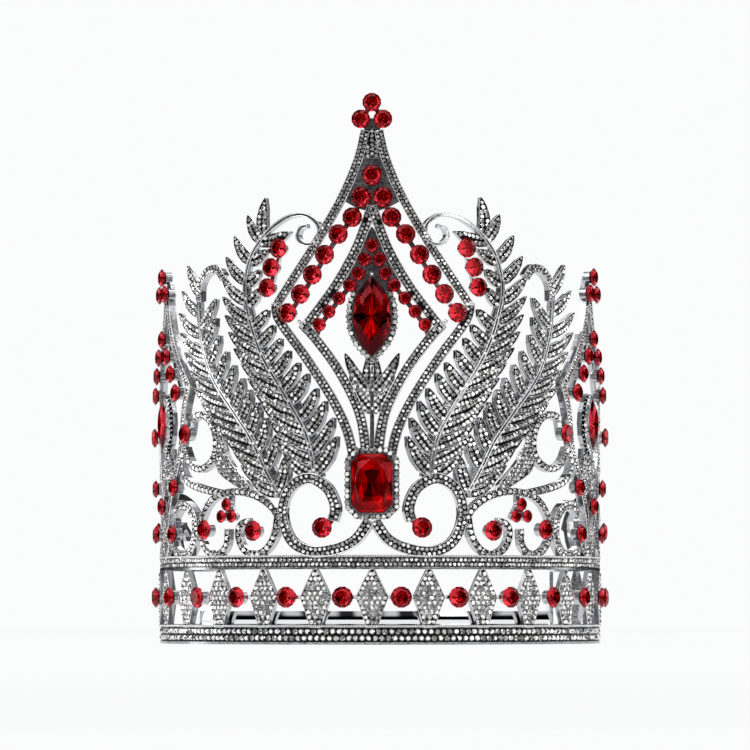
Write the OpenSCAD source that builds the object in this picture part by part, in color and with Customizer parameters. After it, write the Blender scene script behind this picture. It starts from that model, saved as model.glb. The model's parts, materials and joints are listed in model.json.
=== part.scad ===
/* [Crown] */
// Outside diameter of the ring, over the raised bars of the wall
ring_d = 148; // [120:1:170]
// Height from the foot of the ring to the middle of the top stone
peak_h = 175; // [140:1:200]
// Thickness of the cast openwork at its raised bars
bar_t = 2.2; // [1.6:0.1:3]
// Thickness of the cast leaves, which lie lower than the bars
leaf_t = 1.6; // [1:0.1:2.2]
// Angle from the front axis to each end of the openwork
wall_end = 129.6; // [126:0.2:132]

/* [Bands and gallery] */
// Height of the lower band
low_band_h = 6.3; // [5:0.1:8]
// Clear height of the gallery between the two bands
gallery_h = 18; // [16:0.1:22]
// Height of the upper band
top_band_h = 4.6; // [3.6:0.1:6]
// Radial thickness of both bands
band_t = 2.4; // [1.8:0.1:3]
// Height of the fine rail along each edge of a band
rail_h = 0.8; // [0.5:0.1:1.2]
// Depth of the channel between the rails
channel_d = 0.5; // [0.3:0.1:0.8]
// Number of gallery spaces from one end of the wall to the other
gallery_count = 18; // [14:2:22]
// Width of a gallery kite at its widest
kite_w = 10.6; // [8:0.1:11]
// Width of the foot of a gallery kite
kite_foot_w = 3.8; // [2.5:0.1:5]

/* [Openwork bars] */
// Width of the two upper bars of the front peak
peak_bar_w = 3; // [2.4:0.1:4]
// Width of the lower bars of the front peak
peak_leg_w = 3.3; // [2.6:0.1:4.2]
// Width of the bars of the inner frame
inner_bar_w = 3.3; // [2.6:0.1:4]
// Width of the bars of a side panel
side_bar_w = 2.8; // [2.2:0.1:3.6]
// Width of the front scroll bar
scroll_w = 3.6; // [2.8:0.1:4.4]
// Width of a bar that holds one row of stones
row_bar_w = 2.3; // [1.8:0.1:3]
// Width of the smooth stems and of the wire scroll
stem_w = 1.3; // [1:0.1:1.8]
// Width of a fern leaf
leaf_w = 4.4; // [3.4:0.1:5]
// Width of the plain web along the foot of a fern's stem
web_w = 5.5; // [3:0.1:7]

/* [Red stones] */
// Diameter of the peak stones
peak_stone_d = 6.2; // [5:0.1:6.6]
// Diameter of the stones in the scrolls
scroll_stone_d = 6.4; // [5:0.1:7]
// Diameter of the stones beside the ferns
fern_stone_d = 6; // [5:0.1:6]
// Diameter of the finial stones
finial_stone_d = 5.8; // [5:0.1:5.8]
// Diameter of the gallery stones
gallery_stone_d = 6.6; // [5:0.1:7]
// Diameter of the inner row of stones
inner_stone_d = 4.1; // [3:0.1:4.4]
// Diameter of the small trefoil stones
trefoil_stone_d = 3.9; // [3:0.1:4.2]
// Diameter of the side panel stones
side_stone_d = 5.8; // [5:0.1:6.2]
// Width and height of the front marquise
marquise_size = [12, 25]; // [8:0.5:30]
// Width and height of the front octagon
octagon_size = [13, 18.5]; // [8:0.5:24]
// Width and height of a side marquise
side_marquise_size = [7.5, 16]; // [5:0.5:20]
// Wall of a stone's cup
cup_wall = 0.35; // [0.3:0.05:0.6]
// Clearance between a stone and its cup
stone_fit = 0.12; // [0.1:0.01:0.2]

/* [Back strap] */
// Height of the strap ribbons
strap_h = 3.5; // [3:0.1:5]
// Thickness of the strap ribbons
strap_t = 0.5; // [0.4:0.05:0.8]
// Height of the strap's middle above the foot of the ring
strap_mid = 3; // [2.8:0.1:4]
// Height of the sliding collars
collar_h = 5.5; // [4.6:0.1:5.6]
// Length of a collar along the strap
collar_l = 2.4; // [1.8:0.1:4]
// Wall of a collar
collar_wall = 0.5; // [0.4:0.05:0.8]
// Angle from the back axis to each collar
collar_at = 25; // [15:1:30]
// Gap between pieces that touch on the real crown
seat_gap = 0.15; // [0.1:0.01:0.25]
// Height of the plain tail plates at the ends of the wall
tail_h = 4.7; // [4:0.1:6]
// Angle from the front axis to the end of each tail plate
tail_end = 143; // [138:1:146]

/* [Inner fittings] */
// Height of the polished ribbon inside the front
ribbon_h = 5.5; // [4:0.1:7]
// Thickness of the polished ribbon
ribbon_t = 0.6; // [0.4:0.05:1]
// Angle from the front axis to each end of the ribbon
ribbon_end = 54; // [40:1:60]
// Height of a pin loop
loop_h = 4.4; // [3.6:0.1:5]
// Thickness of a pin loop
loop_t = 0.7; // [0.5:0.05:1]
// Angles from the front axis between which a pin loop runs
loop_span = [97, 128]; // [90:1:130]

/* [Hidden] */

$fn = 64;
face_r = ring_d / 2;
leaf_drop = 0.63;
deck_z = low_band_h + gallery_h + top_band_h;
gallery_pitch = 2 * wall_end / gallery_count;
metal = [0.78, 0.79, 0.81];
bright = [0.86, 0.87, 0.89];
grey = [0.6, 0.61, 0.62];
red = [0.72, 0.03, 0.07];

// Places on the unrolled wall are in steps: one step across is 1/465 of the ring's
// circumference, one step up is 1/146 of the height of the openwork over the bands.
// Rises count from the foot of the ring, and the bands end at a rise of 29.
step_x = PI * ring_d / 465;
step_z = (peak_h - deck_z) / 146;
deck_rise = 29;
function spot(p) = [p[0] * step_x, deck_z + (p[1] - deck_rise) * step_z];
function spots(list) = [for (p = list) spot(p)];
// The axis of the side panels, in steps from the front
side_axis = 93;

// Front peak: [across, rise] along the middle of each bar
peak_top_bar = [[2.2, 166], [4.4, 157], [10, 144], [19.5, 128.2], [32.4, 110]];
peak_leg = [[32.6, 110.6], [31.4, 105.2], [22.2, 93.2], [13.4, 80], [8.1, 69], [5.6, 58]];
inner_top_bar = [[0, 141.5], [2.8, 133.5], [6, 126], [11.8, 116], [19.4, 106], [23, 102]];
inner_leg = [[23.2, 103.6], [18.6, 98.8], [11.9, 90], [6.3, 80], [3.4, 72], [1.8, 61]];
// Plain plates at the tops of both frames, across one half: [across, rise]
peak_web = [[0, 158], [4.6, 157], [10, 143.8], [5, 141], [0, 139.5]];
inner_web = [[0, 135], [6, 126.4], [9, 118], [5, 115.4], [0, 115]];
// Palmette leaves: [across and rise of the base, across and rise of the tip, width]
palmette = [[0.3, 81, 8.8, 94, 4.2], [0.3, 75, 7.2, 87.4, 3.8], [0, 80, 0, 95, 5]];
peak_neck = [[0, 157], [0, 163], [0, 170]];
peak_stalk = [[0, 61], [0, 70], [0, 90]];
marquise_at = [0, 105.8];
octagon_at = [0, 52];
peak_stones = [[3.45, 144.4], [6.2, 137.8], [10.7, 132.4], [15.1, 125.8], [19.1, 119.4],
               [23.2, 113.2], [27.6, 107.2]];
peak_stone_top_at = [0, 151.5];
inner_stones = [[2.4, 124.3], [4.3, 119.7], [7.1, 115.8], [10.5, 111.7], [13.8, 107.4], [17, 103.2]];
inner_stone_top_at = [0, 128.8];
finial_stones = [[0, 175], [3.5, 169.6]];
finial_seat = [[0, 164], finial_stones[1], finial_stones[0]];

// Front scroll and the ferns: [across, rise]
front_scroll = [[1, 40], [5.4, 34], [12, 30.9], [20.5, 30.2], [27.2, 34], [30.1, 42.4],
                [27.6, 50.4], [21.1, 53.7], [14.8, 50.6], [12, 44.4], [12.9, 40]];
scroll_stone_at = [15.9, 37.8];
scroll_seat = [[12.8, 40.6], scroll_stone_at];
fern_stem = [[19, 54], [20.2, 62], [22.8, 70], [30.2, 82], [36.6, 91.5], [40.8, 100],
             [44, 110], [44.6, 117.5], [42.6, 125.5], [38, 132]];
fern_wire = [[38.4, 131.6], [33.6, 135.6], [28, 138.6], [22.6, 139], [18.4, 136.4], [17.4, 132.8],
             [19.2, 129.9], [22.4, 129.5], [24.8, 131.6], [24, 134.6], [21.6, 135.4]];
fern_tips_out = [[30, 62.2], [33.4, 67.6], [35.2, 72.4], [37.8, 77.4], [40.8, 81.8], [43.8, 86.4],
                 [46.6, 91.4], [49.8, 96.4], [52.2, 101.8], [53.8, 107.4], [55, 113.4],
                 [55.2, 119.8], [53.4, 126.4], [49.6, 133], [43.9, 139.6], [36.8, 145]];
fern_tips_in = [[11.7, 67.2], [12.9, 73.2], [15.6, 78.6], [18.5, 82.8], [21.5, 87.6],
                [24.7, 91.2], [28, 95.2], [31, 99.2], [33.6, 103.6], [35.8, 108.6],
                [39, 115.6], [38.6, 121.6], [36, 128], [27.6, 133.6]];
fern_stones = [[30.8, 128.2], [33.5, 122.1], [34.9, 115.6]];
// Strip under the fern's stones, from the stem and back to it
fern_seat = [[42, 127], [30.8, 128.2], [33.5, 122.1], [34.9, 115.6], [44, 112]];
// Heights by which leaves rise from base to tip: at the foot of the stem and at its top
fern_climb_out = [8.5, 8.5];
fern_climb_in = [12, 3];
outer_climb_out = [7, 8];
outer_climb_in = [11, 9];
outer_stem = [[32, 49], [37, 57.4], [42, 66.4], [49, 75], [56, 82.7], [61.4, 90], [65.5, 99.5],
              [67.4, 109], [67.2, 115]];
outer_curl = [[67, 112.5], [66.4, 118], [62.6, 122], [57.8, 122.6], [54.8, 119.6]];
outer_tips_out = [[42.6, 53.8], [46.6, 58.2], [50.2, 63.6], [53.8, 67.6], [58, 71.6], [62, 75.2],
                  [65.6, 78.8], [70.6, 84], [72.8, 89.8], [77, 96], [80.4, 102.6], [81.4, 109.2],
                  [79, 116.4], [75, 124.6]];
outer_tips_in = [[29.7, 60.6], [32.7, 68], [36.7, 73.6], [40.1, 78.6], [43.4, 82.8], [46.4, 86.6],
                 [50, 91], [53.4, 95.6], [56.8, 101], [58.4, 106.8], [58.4, 113]];
teardrop = [[57, 71.5], [59.2, 66], [59.2, 60], [56.6, 55.8], [51, 52.6], [44.6, 49.4],
            [42.6, 48.6], [43.4, 51.6], [47.4, 55.6], [51.8, 60], [54.6, 66]];

// Curls, arch and rings over the upper band: [across, rise]
side_curl = [[72, 73.7], [67, 75.2], [61.4, 73.2], [58.2, 67], [59.6, 60.6], [66, 57.4],
             [72.4, 59.2], [76.2, 64.4]];
curl_stone_at = [72.6, 69];
arch = [[30.6, 38.4], [33.4, 43.6], [38.5, 47.4], [45, 49.4], [51.5, 49.6], [58.5, 48],
        [63.2, 44.4], [66, 39], [65, 33.4], [61, 29.8], [56, 29.6], [52.8, 32.6], [52.4, 37.6]];
arch_ring = [[32.2, 41.4], [33.4, 35.2], [36.8, 30.6], [41.6, 29.2], [46, 31.6], [47.8, 36.2],
             [46.2, 39.2], [43, 40]];
arch_stones = [[40, 36.9], [61.4, 37.4]];
trefoil_stones_at = [[51.6, 45.6], [53.9, 41.7], [49.3, 41.7]];
// Strips under the stones of the arch and the curl, each from a bar to its stone
arch_seats = [[[44.6, 40.4], arch_stones[0]], [[65.6, 38.6], arch_stones[1]],
              [[51.4, 49.6], trefoil_stones_at[0]]];
// Plate under a trefoil: the triangle of its stones, made larger by this
trefoil_growth = 1.5;
trefoil_mid = (trefoil_stones_at[0] + trefoil_stones_at[1] + trefoil_stones_at[2]) / 3;
trefoil_plate = [for (p = trefoil_stones_at) trefoil_mid + (p - trefoil_mid) * trefoil_growth];
curl_seat = [[71.4, 74], curl_stone_at];
s_bar = [[77, 65.2], [78.6, 58], [75, 53.8], [69, 51.6], [62, 50.2], [55, 49]];
oval_scroll = [[84.6, 42.6], [79.6, 45.6], [73.6, 44.8], [69.8, 40.8], [69.4, 35], [72.6, 30.4],
               [78, 28.9], [84, 30.8]];

// Side panel: [steps from the panel's axis, rise]
side_top_bar = [[0.9, 118], [2, 112], [4.8, 104.5], [10, 96], [20, 84.6]];
side_leg = [[20, 85.4], [16.8, 78], [15.2, 70], [13.6, 63], [10, 56], [5.8, 49], [2.2, 41], [0.8, 34]];
side_leaves = [[0.4, 48, 8, 61, 3.6], [0.3, 51, 4.6, 64.6, 3.6], [0, 50, 0, 65, 4],
               [0.5, 30, 9, 40.6, 3.6], [0.6, 29, 7.4, 34, 3]];
side_neck = [[0, 109], [0, 113], [0, 118]];
side_stalk = [[0, 28], [0, 40], [0, 56]];
side_marquise_at = [side_axis, 72.8];
side_row = [[0, 101], [4.9, 95.2], [9.2, 89.2], [13.4, 82.8]];
side_row_ends = [[0, 108], [19, 84.4]];
side_low_stones = [[0, 45.5], [12, 51.6], [11, 36.2]];
side_finial = [[0, 121.6], [3.4, 116]];
// Strips under the single stones of a panel, each from a bar or leaf to its stone
side_seats = [[[6, 50], side_low_stones[1]], [[4.5, 36], side_low_stones[2]],
              [[0, 112], side_finial[1], side_finial[0]]];
function from_side_axis(list) = [for (p = list) [side_axis + p[0], p[1]]];

// Azimuths that each casting faces, in steps from the front
face_scroll = 18;
face_fern = 34;
face_outer = 56;
face_arch = 49;
face_curl = 73;

// Smooth curve through points, worked out four at a time
function at(list, i) = list[max(0, min(len(list) - 1, i))];
function bend(a, b, c, d, t) =
    0.5 * (2 * b + (c - a) * t + (2 * a - 5 * b + 4 * c - d) * t * t + (3 * b - a - 3 * c + d) * t * t * t);
function curve(list, steps) = concat(
    [for (i = [0:len(list) - 2], k = [0:steps - 1])
        bend(at(list, i - 1), list[i], list[i + 1], at(list, i + 2), k / steps)],
    [list[len(list) - 1]]);
function closed_curve(list, steps) = let (n = len(list))
    [for (i = [0:n - 1], k = [0:steps - 1])
        bend(list[(i + n - 1) % n], list[i], list[(i + 1) % n], list[(i + 2) % n], k / steps)];
// Value of an evenly spaced list of widths at a share of the way along
function along(widths, t) = let (x = t * (len(widths) - 1), i = min(floor(x), len(widths) - 2))
    widths[i] + (widths[i + 1] - widths[i]) * (x - i);
function heading(list, i) = let (d = at(list, i + 1) - at(list, i - 1)) d / norm(d);
function edge(list, widths, side) = [for (i = [0:len(list) - 1])
    let (d = heading(list, i)) list[i] + [-d[1], d[0]] * side * along(widths, i / (len(list) - 1)) / 2];
function back_to_front(list) = [for (i = [len(list) - 1:-1:0]) list[i]];
function ribbon_outline(list, widths) = concat(edge(list, widths, 1), back_to_front(edge(list, widths, -1)));

// Azimuth of a place across the wall, on this side or folded round the side panel's axis
function azimuth(x) = $side * ($fold ? 2 * side_axis * step_x - x : x) / face_r * 180 / PI;
// Outline on the wall laid into the flat plane that a casting is cut in
module flat(outline) {
    polygon([for (p = outline) [face_r * sin(azimuth(p[0]) - $facing), p[1]]]);
}
// Bar along a curve of design points
module bar(list, width, steps = 3) {
    flat(ribbon_outline(curve(spots(list), steps), [width, width]));
}
// Leaf from its base to its tip: widest at a third, bent a little towards the tip
module leaf(base, tip, width) {
    mid = (base + tip) / 2 + [tip[1] - base[1], base[0] - tip[0]] * leaf_bend * $bend;
    flat(ribbon_outline(curve([base, mid, tip], 2), width * leaf_profile));
}
leaf_bend = 0.06;
leaf_profile = [0.7, 1, 0.94, 0.66, 0.12];
// Leaves of a fern: tips from a table, each base on the stem and lower than its tip by a climb,
// which changes evenly from the lowest leaf to the highest
module leaves(stem, tips, climb, bend_side) {
    line = curve(spots(stem), 3);
    across_at = [for (p = line) [p[1], p[0]]];
    $bend = bend_side;
    for (i = [0:len(tips) - 1]) {
        tip = spot(tips[i]);
        below = tip[1] - climb[0] - (climb[1] - climb[0]) * i / (len(tips) - 1);
        height = max(line[0][1], min(below, line[len(line) - 1][1]));
        leaf([lookup(height, across_at), height], tip, leaf_w);
    }
}
// Web of metal along a stem, which runs out to nothing at its top
module web(stem) {
    flat(ribbon_outline(curve(spots(stem), 2), web_w * web_profile));
}
web_profile = [1, 1, 0.6, 0.2];
// Lens, or marquise, outline: a fullness of 2 gives plain arcs, and more gives blunter ends
lens_fullness = 2.5;
lens_steps = 8;
function lens_side(size) = [for (i = [0:lens_steps - 1]) let (s = sin(180 * i / lens_steps - 90))
    [size[0] * (1 - pow(abs(s), lens_fullness)), size[1] * s] / 2];
function lens(at, size) = let (side = lens_side(size))
    concat([for (p = side) at + p], [for (p = side) at - p]);
// Rectangle with its corners cut off
function cut_corners(at, size, cut) = let (w = size[0] / 2, h = size[1] / 2)
    [for (p = [[w, -h + cut], [w, h - cut], [w - cut, h], [-w + cut, h], [-w, h - cut], [-w, -h + cut],
               [-w + cut, -h], [w - cut, -h]]) at + p];

// Cutters reach this far past what they cut
past = 1;
// Ring of metal between two radii, from the axis of the crown
module shell(outer, depth, z_low, z_high) {
    difference() {
        translate([0, 0, z_low]) cylinder(r = outer, h = z_high - z_low, $fn = 200);
        translate([0, 0, z_low - past]) cylinder(r = outer - depth, h = z_high - z_low + 2 * past, $fn = 200);
    }
}
// Casting: a flat cut-out pushed through the round wall, facing one way
module casting(facing_steps, outer, depth) {
    $facing = azimuth(facing_steps * step_x);
    intersection() {
        rotate([0, 0, $facing]) rotate([90, 0, 0]) translate([0, 0, face_r * cut_from])
            linear_extrude(height = face_r * (cut_to - cut_from)) children();
        shell(outer, depth, 0, peak_h);
    }
}
// Distances from the crown's axis between which a cut-out runs, as shares of the ring's radius
cut_from = 0.75;
cut_to = 1.05;
// Castings are soldered over one another, so each lies a small step lower than the last
solder_step = 0.06;
module bars(facing_steps, layer) { casting(facing_steps, face_r - layer * solder_step, bar_t) children(); }
module plates(facing_steps, layer) {
    casting(facing_steps, face_r - leaf_drop - layer * solder_step, leaf_t) children();
}
// Something set on the wall's face, its own z pointing outwards
module on_wall(p) {
    q = spot(p);
    rotate([0, 0, azimuth(q[0])]) translate([0, -face_r, q[1]]) rotate([90, 0, 0]) children();
}

// Cut stone: culet down, girdle outline given counter-clockwise
pavilion_share = 0.3;
big_pavilion_share = 0.18;
crown_share = 0.16;
girdle_h = 0.25;
table_share = 0.56;
// Height of a stone's seat over the face: a little below it, so that the stone stands low
seat_h = -0.5;
module cut_stone(outline, width, depth_share) {
    n = len(outline);
    low = width * depth_share;
    top = low + girdle_h + width * crown_share;
    table = [for (i = [0:n - 1]) (outline[i] + outline[(i + 1) % n]) / 2 * table_share];
    points = concat([[0, 0, 0]], [for (p = outline) [p[0], p[1], low]],
        [for (p = outline) [p[0], p[1], low + girdle_h]], [for (p = table) [p[0], p[1], top]]);
    polyhedron(points, concat(
        [for (i = [0:n - 1]) [0, 1 + i, 1 + (i + 1) % n]],
        [for (i = [0:n - 1]) [1 + n + i, 1 + n + (i + 1) % n, 1 + (i + 1) % n, 1 + i]],
        [for (i = [0:n - 1]) [1 + 2 * n + i, 1 + n + (i + 1) % n, 1 + n + i]],
        [for (i = [0:n - 1]) [1 + 2 * n + i, 1 + 2 * n + (i + 1) % n, 1 + n + (i + 1) % n]],
        [[for (i = [n - 1:-1:0]) 1 + 2 * n + i]]));
}
facets = 8;
function round_outline(d) =
    [for (i = [0.5:facets - 0.5]) d / 2 * [cos(360 * i / facets), sin(360 * i / facets)]];
module round_stone(d) {
    translate([0, 0, seat_h + stone_fit]) cut_stone(round_outline(d), d, pavilion_share);
}
// Cup under a round stone, rooted in the wall behind it: a tube narrower than the stone, whose rim
// comes up to the stone's taper
cup_root_share = 0.7;
cup_root = bar_t * cup_root_share;
cup_bore_share = 0.3;
module cup(d) {
    bore_r = d * cup_bore_share;
    rim_z = seat_h + stone_fit + 2 * pavilion_share * (bore_r - stone_fit);
    difference() {
        translate([0, 0, -cup_root]) cylinder(r = bore_r + cup_wall, h = cup_root + rim_z);
        translate([0, 0, seat_h]) cylinder(r = bore_r, h = d);
    }
}
module cups(list, d) {
    for (p = list) on_wall(p) cup(d);
}
// Large stones: outlines round their own middles, the stones and their raised bezels
corner_share = 0.2;
marquise_outline = lens([0, 0], marquise_size);
octagon_outline = cut_corners([0, 0], octagon_size, octagon_size[0] * corner_share);
side_marquise_outline = lens([0, 0], side_marquise_size);
module large_stone(outline, width) {
    translate([0, 0, seat_h + stone_fit]) cut_stone(outline, width, big_pavilion_share);
}
module bezel(outer, inner, width) {
    difference() {
        translate([0, 0, -cup_root])
            linear_extrude(height = cup_root + seat_h + stone_fit + width * big_pavilion_share + girdle_h)
                polygon(outer);
        translate([0, 0, seat_h]) linear_extrude(height = width) polygon(inner);
    }
}
rim_2 = [2, 2] * (stone_fit + cup_wall);
fit_2 = [2, 2] * stone_fit;
// A lens is sharp at its ends, so it is made larger by more than a blunt outline
lens_growth = 1.5;
module lens_bezel(size) {
    bezel(lens([0, 0], size + rim_2 * lens_growth), lens([0, 0], size + fit_2 * lens_growth), size[0]);
}
module octagon_bezel(size) {
    bezel(cut_corners([0, 0], size + rim_2, size[0] * corner_share),
          cut_corners([0, 0], size + fit_2, size[0] * corner_share), size[0]);
}

// Bands: a channel between two fine rails, round the front and sides
module band(z_low, height) {
    inner_r = face_r - band_t;
    floor_r = face_r - channel_d;
    z_high = z_low + height;
    outline = [[inner_r, z_low], [face_r, z_low], [face_r, z_low + rail_h], [floor_r, z_low + rail_h],
               [floor_r, z_high - rail_h], [face_r, z_high - rail_h], [face_r, z_high], [inner_r, z_high]];
    rotate([0, 0, -90 - wall_end]) rotate_extrude(angle = 2 * wall_end, $fn = 200) polygon(outline);
}
module arc_plate(inner, thickness, z_low, height, from, to) {
    rotate([0, 0, -90 + from]) rotate_extrude(angle = to - from, $fn = 200)
        translate([inner, z_low]) square([thickness, height]);
}

// The same between two angles counted from the front on one side
module arc_between(side, from, to, inner, thickness, z_low, height) {
    arc_plate(inner, thickness, z_low, height, side > 0 ? from : -to, side > 0 ? to : -from);
}

// Gallery: kites between the bands, linked to the stones' cups
gallery_mid = low_band_h + gallery_h / 2;
// Outline of a kite above its foot: [share of its width, share of the gallery's height]
kite_shares = [[0.52, 0.12], [1, 0.5], [0.55, 0.78], [0.1, 1.04]];
module kite() {
    side = concat([[kite_foot_w / 2, low_band_h - rail_h]],
        [for (k = kite_shares) [k[0] * kite_w / 2, low_band_h + k[1] * gallery_h]]);
    polygon(concat(side, [for (p = back_to_front(side)) [-p[0], p[1]]]));
    translate([-link_w / 2, gallery_mid - link_h / 2]) square([link_w, link_h]);
}
link_h = 1.1;
kite_drop = 0.1;
// Posts at the ends of the gallery: outer radius, thickness, and angles they span and stand back by
post_r = face_r - channel_d - 2 * solder_step;
post_t = 1.6;
post_span = 1.8;
post_back = 0.3;
module gallery_casting(turn) {
    intersection() {
        rotate([0, 0, turn]) rotate([90, 0, 0]) translate([0, 0, face_r * cut_from])
            linear_extrude(height = face_r * (cut_to - cut_from)) kite();
        shell(face_r - kite_drop, leaf_t, 0, deck_z);
    }
}
// A kite's link reaches into the cups on both sides of it
link_lap = 0.4;
link_w = 2 * (face_r * sin(gallery_pitch / 2) - gallery_stone_d * cup_bore_share - cup_wall + link_lap);
gallery_turns = [for (i = [1:gallery_count - 1]) -wall_end + i * gallery_pitch];
gallery_stone_turns = [for (i = [0:gallery_count - 1]) -wall_end + (i + 0.5) * gallery_pitch];
module at_gallery(turn) {
    rotate([0, 0, turn]) translate([0, -face_r, gallery_mid]) rotate([90, 0, 0]) children();
}
module gallery() {
    for (turn = gallery_turns) gallery_casting(turn);
    for (turn = gallery_stone_turns) at_gallery(turn) cup(gallery_stone_d);
    for (side = [-1, 1])
        arc_between(side, wall_end - post_back - post_span, wall_end - post_back, post_r - post_t, post_t,
            low_band_h - rail_h / 2, gallery_h + rail_h);
}

// Plates behind the large stones, wide enough for a halo of small ones
halo_w = 2.2;
plate_corner = 0.8;
neck_w = 5;
// Strip that a row of stones is seated on
seat_strip_w = 1.6;
side_neck_w = 4.4;
side_stalk_w = 1.8;
module front_peak() {
    $fold = false;
    $side = 1;
    bars(0, 1) {
        for (side = [-1, 1]) {
            $side = side;
            bar(peak_top_bar, peak_bar_w);
            bar(peak_leg, peak_leg_w);
            bar(inner_top_bar, inner_bar_w);
            bar(inner_leg, inner_bar_w);
        }
        bar(peak_neck, neck_w);
        bar(peak_stalk, stem_w);
    }
    plates(0, 1) {
        $bend = 1;
        for (side = [-1, 1]) {
            $side = side;
            for (p = palmette) leaf(spot([p[0], p[1]]), spot([p[2], p[3]]), p[4]);
            bar(concat([peak_stone_top_at], peak_stones, [peak_leg[1]]), seat_strip_w, 1);
            bar(concat([inner_stone_top_at], inner_stones, [inner_leg[1]]), seat_strip_w, 1);
            bar(finial_seat, seat_strip_w, 1);
            flat(spots(peak_web));
            flat(spots(inner_web));
        }
        flat(lens(spot(marquise_at), marquise_size + [2, 2] * halo_w));
        flat(cut_corners(spot(octagon_at), octagon_size + [2, 2] * halo_w,
            octagon_size[0] * corner_share + plate_corner));
    }
    on_wall(marquise_at) lens_bezel(marquise_size);
    on_wall(octagon_at) octagon_bezel(octagon_size);
}
module front_scrolls() {
    bars(face_scroll, 2) bar(front_scroll, scroll_w, 4);
    plates(face_scroll, 2) bar(scroll_seat, seat_strip_w, 1);
}
module inner_fern() {
    plates(face_fern, 3) {
        web(fern_stem);
        leaves(fern_stem, fern_tips_out, fern_climb_out, 1);
        leaves(fern_stem, fern_tips_in, fern_climb_in, -1);
        bar(fern_seat, seat_strip_w, 1);
    }
    bars(face_fern, 3) {
        bar(fern_stem, stem_w, 3);
        bar(fern_wire, stem_w, 3);
    }
}
module outer_fern() {
    plates(face_outer, 4) {
        web(outer_stem);
        leaves(outer_stem, outer_tips_out, outer_climb_out, 1);
        leaves(outer_stem, outer_tips_in, outer_climb_in, -1);
        flat(closed_curve(spots(teardrop), 2));
    }
    bars(face_outer, 4) {
        bar(outer_stem, stem_w, 3);
        bar(outer_curl, peak_bar_w, 3);
    }
}
module arches() {
    bars(face_arch, 5) {
        bar(arch, row_bar_w, 3);
        bar(arch_ring, row_bar_w, 3);
    }
    plates(face_arch, 5) {
        for (seat = arch_seats) bar(seat, seat_strip_w, 1);
        flat(spots(trefoil_plate));
    }
}
module side_curls() {
    bars(face_curl, 6) {
        bar(side_curl, row_bar_w, 3);
        bar(s_bar, row_bar_w, 3);
        bar(oval_scroll, peak_leg_w, 3);
    }
    plates(face_curl, 6) bar(curl_seat, seat_strip_w, 1);
}
// A side panel is symmetrical about its own axis
module side_panel() {
    $fold = false;
    bars(side_axis, 1) {
        for (fold = [false, true]) {
            $fold = fold;
            bar(from_side_axis(side_top_bar), side_bar_w);
            bar(from_side_axis(side_leg), side_bar_w);
        }
        bar(from_side_axis(side_neck), side_neck_w);
    }
    plates(side_axis, 1) {
        $bend = 1;
        for (fold = [false, true], p = side_leaves) {
            $fold = fold;
            leaf(spot([side_axis + p[0], p[1]]), spot([side_axis + p[2], p[3]]), p[4]);
        }
        for (fold = [false, true]) {
            $fold = fold;
            bar(from_side_axis(concat([side_row_ends[0]], side_row, [side_row_ends[1]])), seat_strip_w, 1);
            for (seat = side_seats) bar(from_side_axis(seat), seat_strip_w, 1);
        }
        bar(from_side_axis(side_stalk), side_stalk_w);
        flat(lens(spot(side_marquise_at), side_marquise_size + [2, 2] * halo_w));
    }
    on_wall(side_marquise_at) lens_bezel(side_marquise_size);
}
// The side stones of both halves: those on the axis once, the others folded round it
module side_pairs() {
    for (p = from_side_axis(concat(side_row, side_low_stones, side_finial)), fold = [false, true]) {
        $fold = fold;
        if (p[0] > side_axis || !fold) on_wall(p) children();
    }
}

// Everything on the wall that stands once on each side of the front axis
module wall_side(side) {
    $side = side;
    $fold = false;
    front_scrolls();
    inner_fern();
    outer_fern();
    side_panel();
    side_pairs() cup(side_stone_d);
    cups(peak_stones, peak_stone_d);
    cups(inner_stones, inner_stone_d);
    cups([scroll_stone_at], scroll_stone_d);
    cups(fern_stones, fern_stone_d);
    cups([finial_stones[1]], finial_stone_d);
    for (fold = [false, true]) folded(fold);
    tail_plate(side);
}
// Curls and arches, which the rear of the wall repeats round the side panel's axis
module folded(fold) {
    $fold = fold;
    arches();
    side_curls();
    cups(arch_stones, scroll_stone_d);
    cups(trefoil_stones_at, trefoil_stone_d);
    cups([curl_stone_at], scroll_stone_d);
}
module crown_frame() {
    color(metal) {
        band(0, low_band_h);
        band(low_band_h + gallery_h, top_band_h);
        gallery();
        front_peak();
        wall_side(-1);
        wall_side(1);
        one_side(1) {
            cups([peak_stone_top_at], peak_stone_d);
            cups([inner_stone_top_at], inner_stone_d);
            cups([finial_stones[0]], finial_stone_d);
        }
    }
}

// Outer radii of the two strap ribbons, the left one outside the right one
strap_outer_r = face_r - band_t - seat_gap;
strap_inner_r = strap_outer_r - strap_t - seat_gap;
function strap_r(side) = side < 0 ? strap_outer_r : strap_inner_r;
strap_z = strap_mid - strap_h / 2;
tail_lap = 1;
strap_start = 1.5;
// The strap runs on past the collar of the other side
strap_past_collar = 4;
strap_to = 180 + collar_at + strap_past_collar;
// Plain plate that carries the strap on past the end of the openwork, soldered into the band's channel
module tail_plate(side) {
    inner = strap_r(side) + seat_gap + solder_step;
    outer = face_r - channel_d - solder_step;
    arc_between(side, wall_end - tail_lap, tail_end, inner, outer - inner, 0, tail_h);
}
// Height by which the inner ribbon overlaps the lower band
ribbon_lap = 1;
module inner_ribbon() {
    color(bright) arc_plate(face_r - band_t - seat_gap - ribbon_t, ribbon_t, low_band_h - ribbon_lap,
        ribbon_h, -ribbon_end, ribbon_end);
}
module strap(side) {
    color(bright) arc_between(side, wall_end + strap_start, strap_to, strap_r(side) - strap_t, strap_t,
        strap_z, strap_h);
}
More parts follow.
